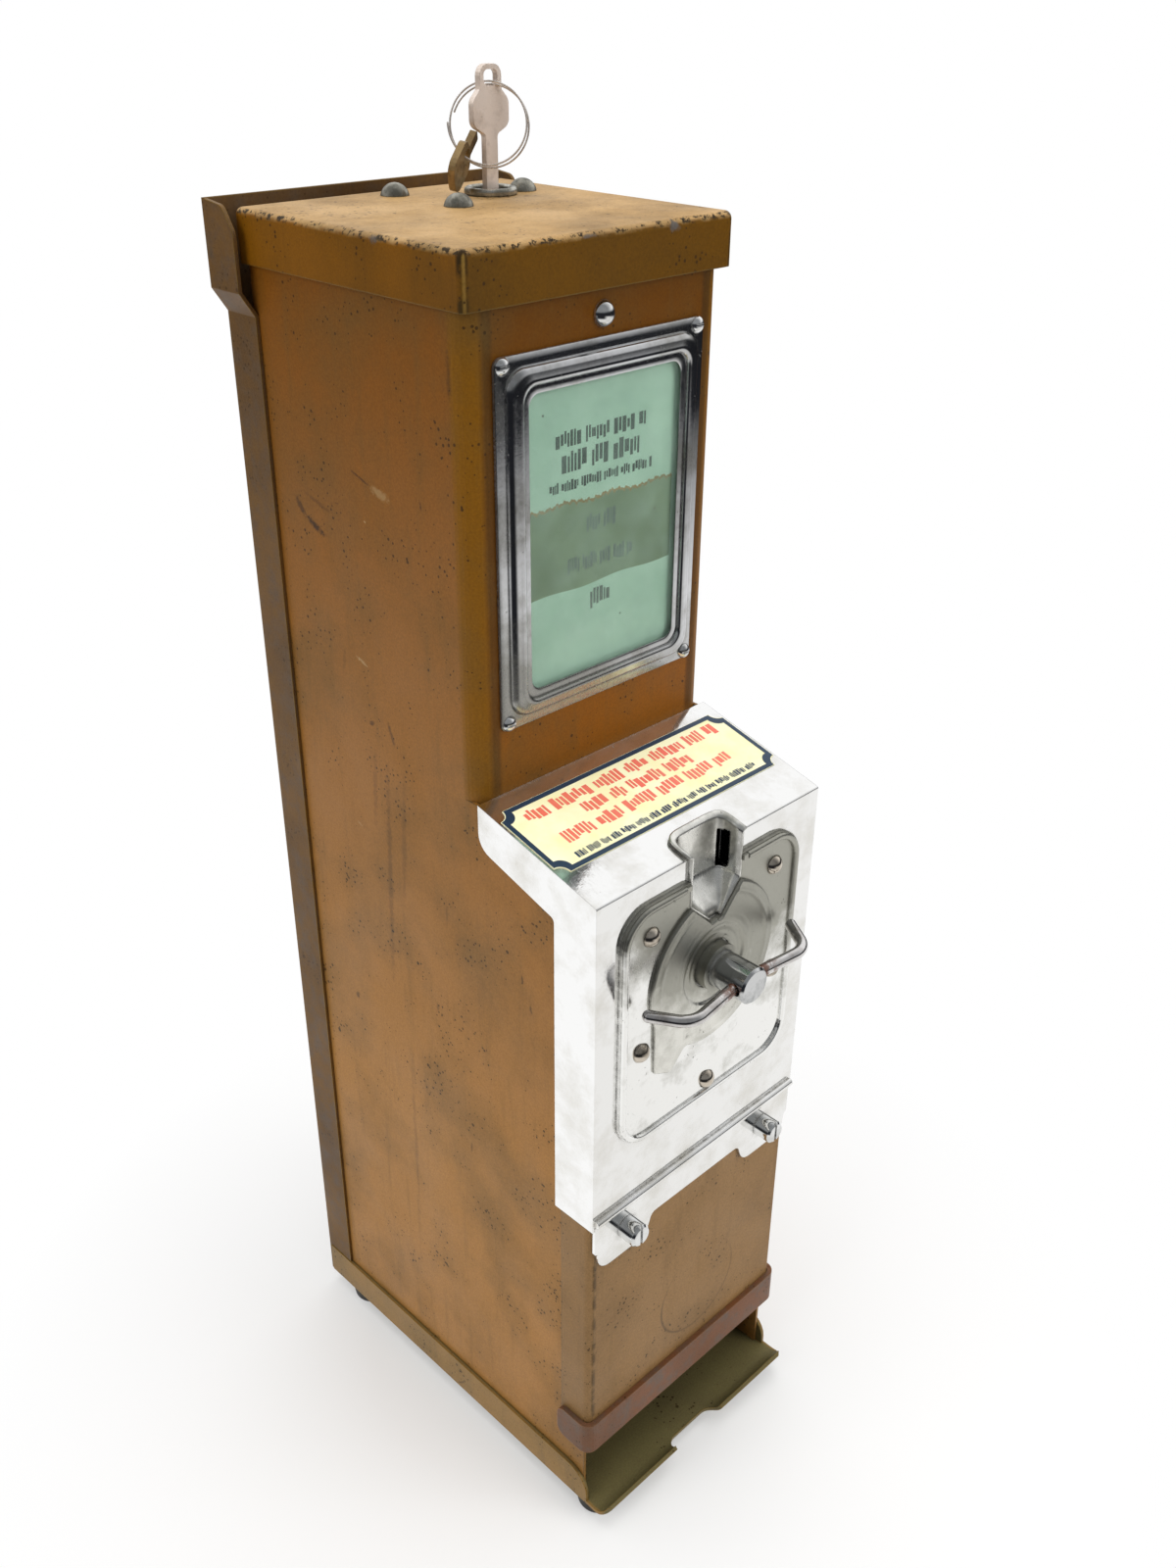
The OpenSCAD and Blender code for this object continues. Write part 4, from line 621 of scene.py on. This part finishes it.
# %% Press the sign frame
low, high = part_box("sign_frame")
frame_half = ((high.x - low.x) / 2 / MM, (high.z - low.z) / 2 / MM)
frame_centre = ((high.x + low.x) / 2 / MM, (high.z + low.z) / 2 / MM)
frame_back = ORIGIN_OUT - high.y / MM
arc = np.radians(np.linspace(0, 180, 13))
roll = [(6.1 - 2.7 * np.cos(a), 1.1 + 2.4 * np.sin(a) + 1.5 * max(0, -np.cos(a)), 7.2 - k / 5)
        for k, a in enumerate(arc)]
rings = [(0, 0, 2.5), (0, 0.8, 2.5), (0.25, 1.0, 2.4), (3.0, 1.0, 6.8), *roll,
         (9.2, 2.7, 4.6), (10.8, 2.55, 4.1), (11.15, 2.5, 4.0), (11.3, 2.38, 4.0),
         (11.3, 2.28, 4.0), (7.0, 2.28, 4.4), (7.0, 0, 4.4)]
points = outline_stack(frame_half, frame_centre, frame_back, rings)
make_piece("sign_frame_pressing", points.reshape(-1, 3),
           grid_faces(*points.shape[:2], wrap_rows=True, wrap_cols=True), frame_chrome,
           "cabinet", ["sign_frame"], sharp=50)

# %% [markdown]
# ## Wires
# A bent wire is a circle carried along a path. The path lies in one plane, so that
# plane's normal and the path's direction are enough to place each circle.

# %% Carry a circle along a path


def bent(corners, radius, steps=10):
    """A path with each inner corner rounded: an arc between its two tangent points."""
    p = np.asarray(corners, float)
    into, onward = p[1:-1] - p[:-2], p[2:] - p[1:-1]
    into /= np.linalg.norm(into, axis=1, keepdims=True)
    onward /= np.linalg.norm(onward, axis=1, keepdims=True)
    half_turn = np.arccos(np.clip((into * onward).sum(1), -1, 1)) / 2
    cut = radius * np.tan(half_turn)
    t = np.linspace(0, 1, steps + 1)[None, :, None]
    start = (p[1:-1] - into * cut[:, None])[:, None]
    end = (p[1:-1] + onward * cut[:, None])[:, None]
    centre = p[1:-1] + (onward - into) * (radius / (2 * np.sin(half_turn) *
                                                    np.cos(half_turn)))[:, None]
    chord = start + (end - start) * t - centre[:, None]
    arcs = centre[:, None] + radius * chord / np.linalg.norm(chord, axis=2, keepdims=True)
    return np.concatenate([p[:1], arcs.reshape(-1, 3), p[-1:]])


def round_ends(path, radius, steps=6):
    """Ball ends: the last radius of the path shrinks as the cosine of its angle."""
    turn = np.radians(np.linspace(0, 90, steps + 1))
    first, last = path[1] - path[0], path[-1] - path[-2]
    first, last = first / np.linalg.norm(first), last / np.linalg.norm(last)
    head = path[0] + first * radius * (1 - np.sin(turn[::-1]))[:, None]
    tail = path[-1] - last * radius * (1 - np.sin(turn))[:, None]
    size = np.concatenate([radius * np.cos(turn[::-1]), np.full(len(path) - 2, radius),
                           radius * np.cos(turn)])
    return np.concatenate([head, path[1:-1], tail]), size


def tube(path, radius, across, sides=24):
    """Path point + radius (cos t side + sin t up), with side = across x direction."""
    ahead = np.gradient(path, axis=0)
    ahead /= np.linalg.norm(ahead, axis=1, keepdims=True)
    side = np.cross(across, ahead)
    side /= np.linalg.norm(side, axis=1, keepdims=True)
    up = np.cross(ahead, side)
    t = np.linspace(0, 2 * np.pi, sides, endpoint=False)[None, :, None]
    ring = np.cos(t) * side[:, None] + np.sin(t) * up[:, None]
    return path[:, None] + np.broadcast_to(radius, len(path))[:, None, None] * ring


def wire_piece(name, path, radius, across, finish, body, replaces=()):
    points = tube(*round_ends(path, radius), across)
    make_piece(name, from_wall(points).reshape(-1, 3),
               grid_faces(*points.shape[:2], wrap_cols=True), finish, body, replaces)


# %% Bend the handle
# Each arm leans a little forward from the spindle, and its grip bends back to the wall.
low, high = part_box("spindle")
spindle_end, spindle_z = ORIGIN_OUT - low.y / MM, (low.z + high.z) / 2 / MM
low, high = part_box("handle_wire")
wire_r, tip_x = (high.z - low.z) / 2 / MM, high.x / MM
tip_out = ORIGIN_OUT - high.y / MM
GRIP_X, GRIP_LEAN, GRIP_BEND, WIRE_BEHIND_END, TIP_INSET = 28.3, 3.6, 8, 5.12, 0.4
middle_out = spindle_end - WIRE_BEHIND_END
half_path = [[0, middle_out, spindle_z], [GRIP_X, middle_out + GRIP_LEAN, spindle_z],
             [tip_x - TIP_INSET, tip_out + TIP_INSET, spindle_z]]
mirrored = [[-p[0], *p[1:]] for p in half_path[:0:-1]]
wire_piece("handle_bow", bent(mirrored + half_path, GRIP_BEND), wire_r, (0, 0, 1),
           handle_chrome, "handle", ["handle_wire"])

# %% [markdown]
# ## Key ring
# A split ring is a wire wound almost twice round. The two turns lie side by side.

# %% Wind the key ring
ring_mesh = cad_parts["key_ring"].data
spots = np.empty(len(ring_mesh.vertices) * 3)
ring_mesh.vertices.foreach_get("co", spots)
spots = spots.reshape(-1, 3)
ring_centre = (spots.max(0) + spots.min(0)) / 2
axes = np.linalg.svd(spots - ring_centre, full_matrices=False)[2]
ring_r = np.linalg.norm(spots - ring_centre, axis=1)
ring_wire = (ring_r.max() - ring_r.min()) / 2
# Degrees wound, turns apart in wire radii, their drift in mm, the thin wire's share.
WOUND, APART, DRIFT, THINNER = 700, 1.6, 1.6, 0.46
turns = np.radians(np.linspace(0, WOUND, 241))
wind = (np.cos(turns)[:, None] * axes[0] + np.sin(turns)[:, None] * axes[1]) \
    * (ring_r.max() + ring_r.min()) / 2
spread = (turns / turns[-1] - 0.5)[:, None]
wind = ring_centre + wind + spread * (axes[2] * ring_wire * APART
                                      + [DRIFT * MM, 0, -DRIFT * MM])
thin = ring_wire * THINNER
points = tube(*round_ends(wind, thin), axes[2], 12)
make_piece("split_ring", points.reshape(-1, 3), grid_faces(*points.shape[:2], wrap_cols=True),
           ring_steel, "ring", ["key_ring"])

# %% [markdown]
# ## Coin cover
# The round cover was pressed with spun rings and a sunk middle. A tab hangs from its
# lower left, and its top is cut to a point for the coin pocket.

# %% Press the coin cover


def reach(angle, corners, pick):
    """How far rays from the centre go to an outline: where a ray crosses a side."""
    a = np.asarray(corners, float)[None]
    side = np.roll(a, -1, 1) - a
    ray_way = np.stack([np.cos(angle), np.sin(angle)], -1)[:, None]
    across = ray_way[..., 0] * side[..., 1] - ray_way[..., 1] * side[..., 0]
    across = np.where(abs(across) < 1e-9, 1e-9, across)
    far = (a[..., 0] * side[..., 1] - a[..., 1] * side[..., 0]) / across
    part = (a[..., 0] * ray_way[..., 1] - a[..., 1] * ray_way[..., 0]) / across
    hit = (part >= 0) & (part <= 1) & (far > 0)
    return pick(np.where(hit, far, np.inf if pick is nearest else 0))


def nearest(far):
    return far.min(1)


def farthest(far):
    return far.max(1)


low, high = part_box("coin_cover")
cover_back, cover_front = ORIGIN_OUT - high.y / MM, ORIGIN_OUT - low.y / MM
COVER_R, COVER_HOLE, DISH_R = 30, 8.9, 15.5
TAB = [(-28, -8), (-27, -31), (-20, -34.5), (-14, -28), (-3, -26), (0, -10)]
POCKET = [(-12.8, 27.5), (-2.2, 17.0), (0.2, 17.9), (1.2, 16.9), (3.4, 17.4),
          (12.8, 28.3), (12.8, 49), (-12.8, 49)]
angle = np.linspace(0, 2 * np.pi, 360, endpoint=False)
edge_r = np.maximum(COVER_R, reach(angle, TAB, farthest))
edge_r = np.minimum(edge_r, reach(angle, POCKET, nearest))[None]
part = np.linspace(0, 1, 72)[:, None]
radius = COVER_HOLE + (edge_r - COVER_HOLE) * part


def smooth(value, start, end):
    """0 before start, 1 after end, 3t^2 - 2t^3 between."""
    t = np.clip((value - start) / (end - start), 0, 1)
    return t * t * (3 - 2 * t)


sunk = -0.9 * smooth(-radius, -DISH_R, -DISH_R + 1.4)
spun = 0.08 * np.cos(2 * np.pi * radius / 2.4) * smooth(-radius, -DISH_R - 7, -DISH_R + 2)
ridge = 0.25 * np.exp(-(((radius - 26.5) / 0.9) ** 2)) * (edge_r > 27)
lip = -0.45 * smooth(radius, edge_r - 0.7, edge_r + 0.1)
height = cover_front - 0.25 + sunk + spun + ridge + lip
radius = np.concatenate([radius, edge_r, 0 * edge_r + COVER_HOLE])
height = np.concatenate([height, 0 * edge_r + cover_back, 0 * edge_r + cover_back])
points = from_wall(np.stack([radius * np.cos(angle), height,
                             radius * np.sin(angle) + spindle_z], -1))
make_piece("coin_cover_pressing", points.reshape(-1, 3),
           grid_faces(*points.shape[:2], wrap_rows=True, wrap_cols=True), cover_nickel,
           "cabinet", ["coin_cover"])

# %% [markdown]
# ## Coin pocket
# The coin drops into a deep scoop. Its floor comes to a point at the bottom, its top edge
# lies on the slope as a lip, and a slot in its right wall lets the coin roll on.

# %% Press the coin pocket
low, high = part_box("coin_pocket")
pocket_low, pocket_high = low.z / MM, high.z / MM
pocket_back, pocket_front = ORIGIN_OUT - high.y / MM, ORIGIN_OUT - low.y / MM
pocket_half = high.x / MM
low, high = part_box("unit_housing")
slope_front = ORIGIN_OUT - low.y / MM
slope_foot = high.z / MM - math.tan(SLOPE) * (slope_front - (ORIGIN_OUT - high.y / MM))
SHEET, THINNED, LIP, LIP_RISE, ABOVE_SLOPE = 1.0, 0.8, 1.7, 0.9, 0.3
SLOT_FROM_FOOT, SLOT_FROM_TOP, SLOT_NEAR, SLOT_FAR, SLOT_WALL = 12, 6, 1.2, 5.6, 2.5
up = np.linspace(0, 1, 60)[:, None]
round_way = np.radians(np.linspace(-90, 90, 61))[None]
# The section is a superellipse; its left wall is round and its right wall upright.
power = np.where(round_way < 0, 0.7 - 0.34 * smooth(up, 0.5, 0.85), 0.36)
across = np.sign(np.sin(round_way)) * abs(np.sin(round_way)) ** power
deep = np.cos(round_way).clip(1e-9) ** power
depth = (pocket_front - pocket_back - SHEET) * (0.2 + 0.8 * smooth(up, 0.02, 0.42))
out = pocket_front - depth * deep
foot = pocket_low + SHEET / 2
rim = slope_foot + (slope_front - out) * math.tan(SLOPE) + ABOVE_SLOPE
rise = foot + (rim - foot) * up
# Each wall starts near the middle at the foot and reaches its full width higher up.
LEFT_START, LEFT_FULL, RIGHT_START, RIGHT_FULL = 2, 10, 3, 11
left = SHEET / 2 - np.interp(rise, [pocket_low, pocket_low + LEFT_FULL],
                             [LEFT_START, pocket_half])
right = np.interp(rise, [pocket_low, pocket_low + RIGHT_FULL],
                  [RIGHT_START, pocket_half]) - SHEET / 2
x = (left + right) / 2 + (right - left) / 2 * across
# The top edge is turned outwards in a quarter circle and lies on the slope as a lip.
curl = np.radians(np.linspace(0, 90, 7))[1:, None]
lip_x = x[-1] + LIP * (1 - np.cos(curl)) * across[-1]
lip_out = out[-1] - LIP * (1 - np.cos(curl)) * deep[-1]
lip_rise = rise[-1] + LIP_RISE * np.sin(curl) \
    + LIP * (1 - np.cos(curl)) * deep[-1] * math.tan(SLOPE)
scoop_mm = np.stack([np.concatenate(pair) for pair in ((x, lip_x), (out, lip_out),
                                                       (rise, lip_rise))], -1)
points = from_wall(scoop_mm)
faces = grid_faces(*points.shape[:2])
middle = scoop_mm.reshape(-1, 3)[faces].mean(1)
in_slot = (middle[:, 0] > pocket_half - SLOT_WALL) \
    & (middle[:, 1] > pocket_back + SLOT_NEAR) & (middle[:, 1] < pocket_back + SLOT_FAR) \
    & (middle[:, 2] > pocket_low + SLOT_FROM_FOOT) \
    & (middle[:, 2] < pocket_high - SLOT_FROM_TOP)
scoop = make_piece("coin_scoop", points.reshape(-1, 3), faces[~in_slot], scoop_nickel,
                   "cabinet", ["coin_pocket"])
solid = scoop.modifiers.new("sheet", "SOLIDIFY")
solid.thickness = SHEET * THINNED * MM
solid.offset = 0

# %% [markdown]
# ## Bead round the coin plate
# A half-round bead is pressed round the plate's edge. It dies out at the coin pocket.

# %% Press the bead
low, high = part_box("coin_plate")
plate_half = ((high.x - low.x) / 2 / MM, (high.z - low.z) / 2 / MM)
plate_mid = (0, (high.z + low.z) / 2 / MM)
rim_front = ORIGIN_OUT - low.y / MM
BEAD_W, BEAD_UP, BEAD_IN, BEAD_SUNK, BEAD_GAP = 2.4, 0.35, 0.35, 1.1, 0.2
BEAD_SPLIT, PLATE_R = 8, 13
sweep = np.radians(np.linspace(0, 180, 11))
outlines = np.stack([rounded_outline(plate_half[0] - i, plate_half[1] - i, PLATE_R - i)
                     for i in BEAD_IN + BEAD_W * (1 - np.cos(sweep)) / 2])
count = outlines.shape[1]
at = np.arange(count * BEAD_SPLIT) / BEAD_SPLIT
share = (at % 1)[None, :, None]
first = at.astype(int)
dense = outlines[:, first] * (1 - share) + outlines[:, (first + 1) % count] * share
swell = np.sqrt(np.sin(sweep).clip(0))[:, None]
lift = (rim_front - BEAD_SUNK) + (BEAD_SUNK + BEAD_UP) * swell + 0 * dense[..., 0]
points = from_wall(np.stack([dense[..., 0], lift, dense[..., 1] + plate_mid[1]], -1))
faces = grid_faces(*points.shape[:2], wrap_rows=True, wrap_cols=True)
middle = dense.reshape(-1, 2)[faces].mean(1)
at_pocket = (abs(middle[:, 0]) < pocket_half + BEAD_GAP) & (middle[:, 1] > 0)
make_piece("plate_bead", points.reshape(-1, 3), faces[~at_pocket],
           coin_plate_finish, "cabinet")

# %% [markdown]
# ## Printed card and label
# The wording is only hinted at: each row is a run of upright strokes of changing weight.
# Ink is a very thin layer just above its paper.

# %% Lay ink on a sheet


def ink_piece(name, shapes, place_at, finish):
    """Flat shapes as lists of (u, v) corners; place_at turns (u, v) into wall points."""
    sizes = np.array([len(s) for s in shapes])
    starts = np.concatenate([[0], np.cumsum(sizes)[:-1]])
    flat = np.concatenate([np.asarray(s, float) for s in shapes])
    faces = [list(range(a, a + n)) for a, n in zip(starts.tolist(), sizes.tolist())]
    make_piece(name, from_wall(place_at(flat[:, 0], flat[:, 1])), faces, finish,
               "cabinet")


def greeked_row(centre, width, tall, weight, draw, gap=0.4):
    """Upright strokes side by side, in words of 3 to 8 strokes, of three weights."""
    shapes, u = [], -width / 2
    left_in_word = draw.integers(4, 9)
    while u < width / 2 - weight:
        wide = weight * draw.choice([0.8, 1.1, 1.7])
        low_cut, high_cut = tall * draw.choice([0, 0, 0.3, 0.45], 2)
        box = [u, -tall / 2 + low_cut * 0.5, u + wide, tall / 2 - high_cut * 0.5]
        shapes.append([(centre[0] + box[0], centre[1] + box[1]),
                       (centre[0] + box[2], centre[1] + box[1]),
                       (centre[0] + box[2], centre[1] + box[3]),
                       (centre[0] + box[0], centre[1] + box[3])])
        left_in_word -= 1
        u += wide + gap * weight
        if left_in_word == 0:
            u += 1.6 * weight
            left_in_word = draw.integers(4, 9)
    return shapes


draw = np.random.default_rng(5)

# %% Print the card behind the glass
low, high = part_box("sign_card")
card_front = ORIGIN_OUT - low.y / MM
WINDOW_UP, BAND_FROM, BAND_TO, BAND_HALF = 47, 37, 64.5, 31.3
window_high = frame_centre[1] + WINDOW_UP


def on_card(lift):
    return lambda u, v: np.stack([u, 0 * u + card_front + lift, v], -1)


wide = np.linspace(-BAND_HALF, BAND_HALF, 120)[None]
tall = np.linspace(0, 1, 10)[:, None]
ragged = 0.35 * np.sin(wide * 1.9) + 0.3 * np.sin(wide * 4.3 + 1) + 0.5 * np.sin(wide * 0.31)
band_top = window_high - BAND_FROM + ragged - 0.02 * wide
band_bottom = window_high - BAND_TO + 0.4 * np.sin(wide * 0.2)
for name, top, bottom, lift, finish in (
        ("torn_band", band_top - 0.7, band_bottom, 0.02, band_paper),
        ("torn_band_fibre", band_top, band_top - 0.9 - 0.3 * np.sin(wide * 2.7), 0.03,
         torn_fibre)):
    rows = top + (bottom - top) * tall
    points = np.stack([wide + 0 * rows, card_front + lift + 0 * rows, rows], -1)
    make_piece(name, from_wall(points).reshape(-1, 3), grid_faces(*rows.shape), finish,
               "cabinet")
ROWS_BLACK = ((17.5, 39, 4.8, 1.0), (24.5, 34, 6.2, 1.15), (31.5, 44, 3.2, 0.62))
ROWS_GREY = ((45, 13, 5.6, 0.8), (57, 29, 5.0, 0.7), (70, 9.5, 6.5, 0.9))
for name, rows, finish in (("card_print", ROWS_BLACK, card_ink),
                           ("card_lower_print", ROWS_GREY, grey_ink)):
    shapes = []
    for down, width, tall_mm, weight in rows:
        shapes += greeked_row((0, window_high - down), width, tall_mm, weight, draw)
    ink_piece(name, shapes, on_card(0.04), finish)

# %% Print the label on the slope
label_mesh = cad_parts["label"].data
spots = np.empty(len(label_mesh.vertices) * 3)
label_mesh.vertices.foreach_get("co", spots)
spots = spots.reshape(-1, 3) / MM
low, high = spots.min(0), spots.max(0)
slope_up = np.array([0, math.cos(SLOPE), math.sin(SLOPE)])
slope_out = np.array([0, -math.sin(SLOPE), math.cos(SLOPE)])
label_half = (high[0], (spots @ slope_up).max() / 2 - (spots @ slope_up).min() / 2)
label_mid = (high + low) / 2
label_mid = label_mid + slope_out * ((spots @ slope_out).max() - label_mid @ slope_out)


def on_label(u, v):
    p = label_mid + u[:, None] * np.array([1, 0, 0]) + v[:, None] * slope_up \
        + 0.03 * slope_out
    return np.stack([p[:, 0], ORIGIN_OUT - p[:, 1], p[:, 2]], -1)


def scooped(inset, scoop, steps=8):
    """A rectangle whose corners are cut by circles centred on the corners."""
    turn = np.radians(np.linspace(0, 90, steps + 1))
    quarter = np.array([180, 270, 0, 90])[:, None] * np.pi / 180 + turn[::-1][None]
    half_u, half_v = label_half[0] - inset, label_half[1] - inset
    u = np.array([1, -1, -1, 1])[:, None] * half_u + scoop * np.cos(quarter)
    v = np.array([1, 1, -1, -1])[:, None] * half_v + scoop * np.sin(quarter)
    return np.stack([u, v], -1).reshape(-1, 2)


outer, inner = scooped(0.1, 3.7), scooped(1.9, 4.1)
after = np.roll(np.arange(len(outer)), -1)
frame_shapes = [[outer[i], outer[j], inner[j], inner[i]] for i, j in enumerate(after)]
LAST_ROW_UP = 4.3
frame_shapes += greeked_row((0, LAST_ROW_UP - label_half[1]), 84, 2.6, 0.55, draw)
ink_piece("label_navy_print", frame_shapes, on_label, navy_ink)
LABEL_ROWS = ((6.2, 88, 5.2, 1.25), (12.9, 50, 5.2, 1.25), (19.6, 80, 5.2, 1.25))
shapes = []
for down, width, tall_mm, weight in LABEL_ROWS:
    shapes += greeked_row((0, label_half[1] - down), width, tall_mm, weight, draw)
ink_piece("label_coral_print", shapes, on_label, coral_ink)

# %% [markdown]
# ## Studio
# A pale floor, and soft lamps overhead, at the left and in front. Metal mirrors a white sky,
# grey behind the camera and dark low down, and a floor with a painted dark stretch, a painted
# grey ahead and a painted dark horizon that only reflections show.

# %% Floor, lamps and sky
floor_mesh = bpy.data.meshes.new("studio_floor")
floor_mesh.from_pydata([(-20, -20, 0), (20, -20, 0), (20, 20, 0), (-20, 20, 0)], [],
                       [(0, 1, 2, 3)])
floor = bpy.data.objects.new("studio_floor", floor_mesh)
bpy.context.scene.collection.objects.link(floor)
floor_finish = bpy.data.materials.new("pale_sweep")
floor_finish.use_nodes = True
tree = floor_finish.node_tree
shader = tree.nodes["Principled BSDF"]
shader.inputs["Base Color"].default_value = srgb("#f4f3f1")
shader.inputs["Roughness"].default_value = 0.9
shader.inputs["Specular IOR Level"].default_value = 0.1
add(tree, "LightPath")
path = tree.nodes[-1].outputs
far = add(tree, "VectorMath", {0: add(tree, "TexCoord", out="Object")}, out="Value",
          operation="LENGTH")
seen = math_node(tree, "MAXIMUM", path["Is Camera Ray"], path["Is Transmission Ray"])
seen = times(tree, seen, ramp(tree, far, 0.08, 0.25, (0.35, 1.0)))
mirrored = times(tree, path["Is Glossy Ray"], ramp(tree, far, 0.05, 0.2, (0.75, 1.0)))
fade = math_node(tree, "MAXIMUM", seen, mirrored)
# Painted reflection: a bearing and a distance set a dark stretch of floor by the camera,
# which only glossy rays see.
toward_floor = add(tree, "VectorMath", {0: add(tree, "TexCoord", out="Object")},
                   operation="NORMALIZE")
bearing = add(tree, "VectorMath", {0: toward_floor, 1: (-0.707, -0.707, 0)}, out="Value",
              operation="DOT_PRODUCT")
painted_dark_reflection = times(tree, ramp(tree, bearing, 0.55, 0.9), ramp(tree, far, 0.4, 0.65))
# Painted reflection: far out the floor turns dark for glossy rays alone, a horizon which
# chrome shows as its dark line.
painted_dark_reflection = math_node(tree, "MAXIMUM", painted_dark_reflection, ramp(tree, far, 0.9, 1.6))
painted_dark_reflection = times(tree, painted_dark_reflection, path["Is Glossy Ray"])
# Painted reflection: glossy rays alone see the floor ahead a little grey.
ahead = times(tree, split(tree, toward_floor)[1], -1.0)
ahead = times(tree, ramp(tree, ahead, 0.0, 0.9), path["Is Glossy Ray"])
backdrop_and_painted_reflection = blend(tree, painted_dark_reflection, blend(tree, ahead, "#ffffff", "#efeeec"), "#26272b")
white = add(tree, "Emission", {"Color": backdrop_and_painted_reflection, "Strength": 1.0})
mixed = add(tree, "MixShader", {0: fade, 1: shader.outputs[0], 2: white})
tree.links.new(mixed, tree.nodes["Material Output"].inputs["Surface"])
floor_mesh.materials.append(floor_finish)


def soft_lamp(name, at, aim, size, power):
    lamp_data = bpy.data.lights.new(name, "AREA")
    lamp_data.shape = "RECTANGLE"
    lamp_data.size, lamp_data.size_y = size
    lamp_data.energy = power
    lamp = bpy.data.objects.new(name, lamp_data)
    bpy.context.scene.collection.objects.link(lamp)
    lamp.location = at
    lamp.visible_glossy = False
    lamp.rotation_euler = (Vector(aim) - Vector(at)).to_track_quat("-Z", "Y").to_euler()
    print(name, power, "W")


soft_lamp("overhead_softbox", (0.1, 0.0, 1.5), (0, 0, 0.25), (1.4, 1.4), 14)
soft_lamp("left_softbox", (-1.3, 0.1, 0.9), (0, 0, 0.25), (1.0, 1.2), 9.5)
soft_lamp("front_softbox", (0.6, -1.3, 1.0), (0, 0, 0.2), (1.0, 1.2), 13)

world = bpy.data.worlds.new("studio_sky")
bpy.context.scene.world = world
world.use_nodes = True
tree = world.node_tree
sky = tree.nodes["Background"]
direction = add(tree, "TexCoord", out="Generated")
toward = add(tree, "VectorMath", {0: direction, 1: (-0.5, -0.75, 0.43)}, out="Value",
             operation="DOT_PRODUCT")
low_sky = ramp(tree, split(tree, direction)[2], 0.30, 0.08)
colour = blend(tree, ramp(tree, toward, 0.0, 0.7), "#ffffff", "#8a8c8e")
colour = blend(tree, low_sky, colour, "#2a2c30")
add(tree, "LightPath")
path = tree.nodes[-1].outputs
seen = math_node(tree, "MAXIMUM", path["Is Glossy Ray"], path["Is Transmission Ray"])
colour = blend(tree, path["Is Camera Ray"], colour, "#ffffff")
seen = math_node(tree, "MAXIMUM", seen, path["Is Camera Ray"])
tree.links.new(colour, sky.inputs["Color"])
tree.links.new(ramp(tree, seen, 0.0, 1.0, (0.5, 1.0)), sky.inputs["Strength"])
bpy.context.scene.view_settings.view_transform = "Standard"
print("studio is ready")
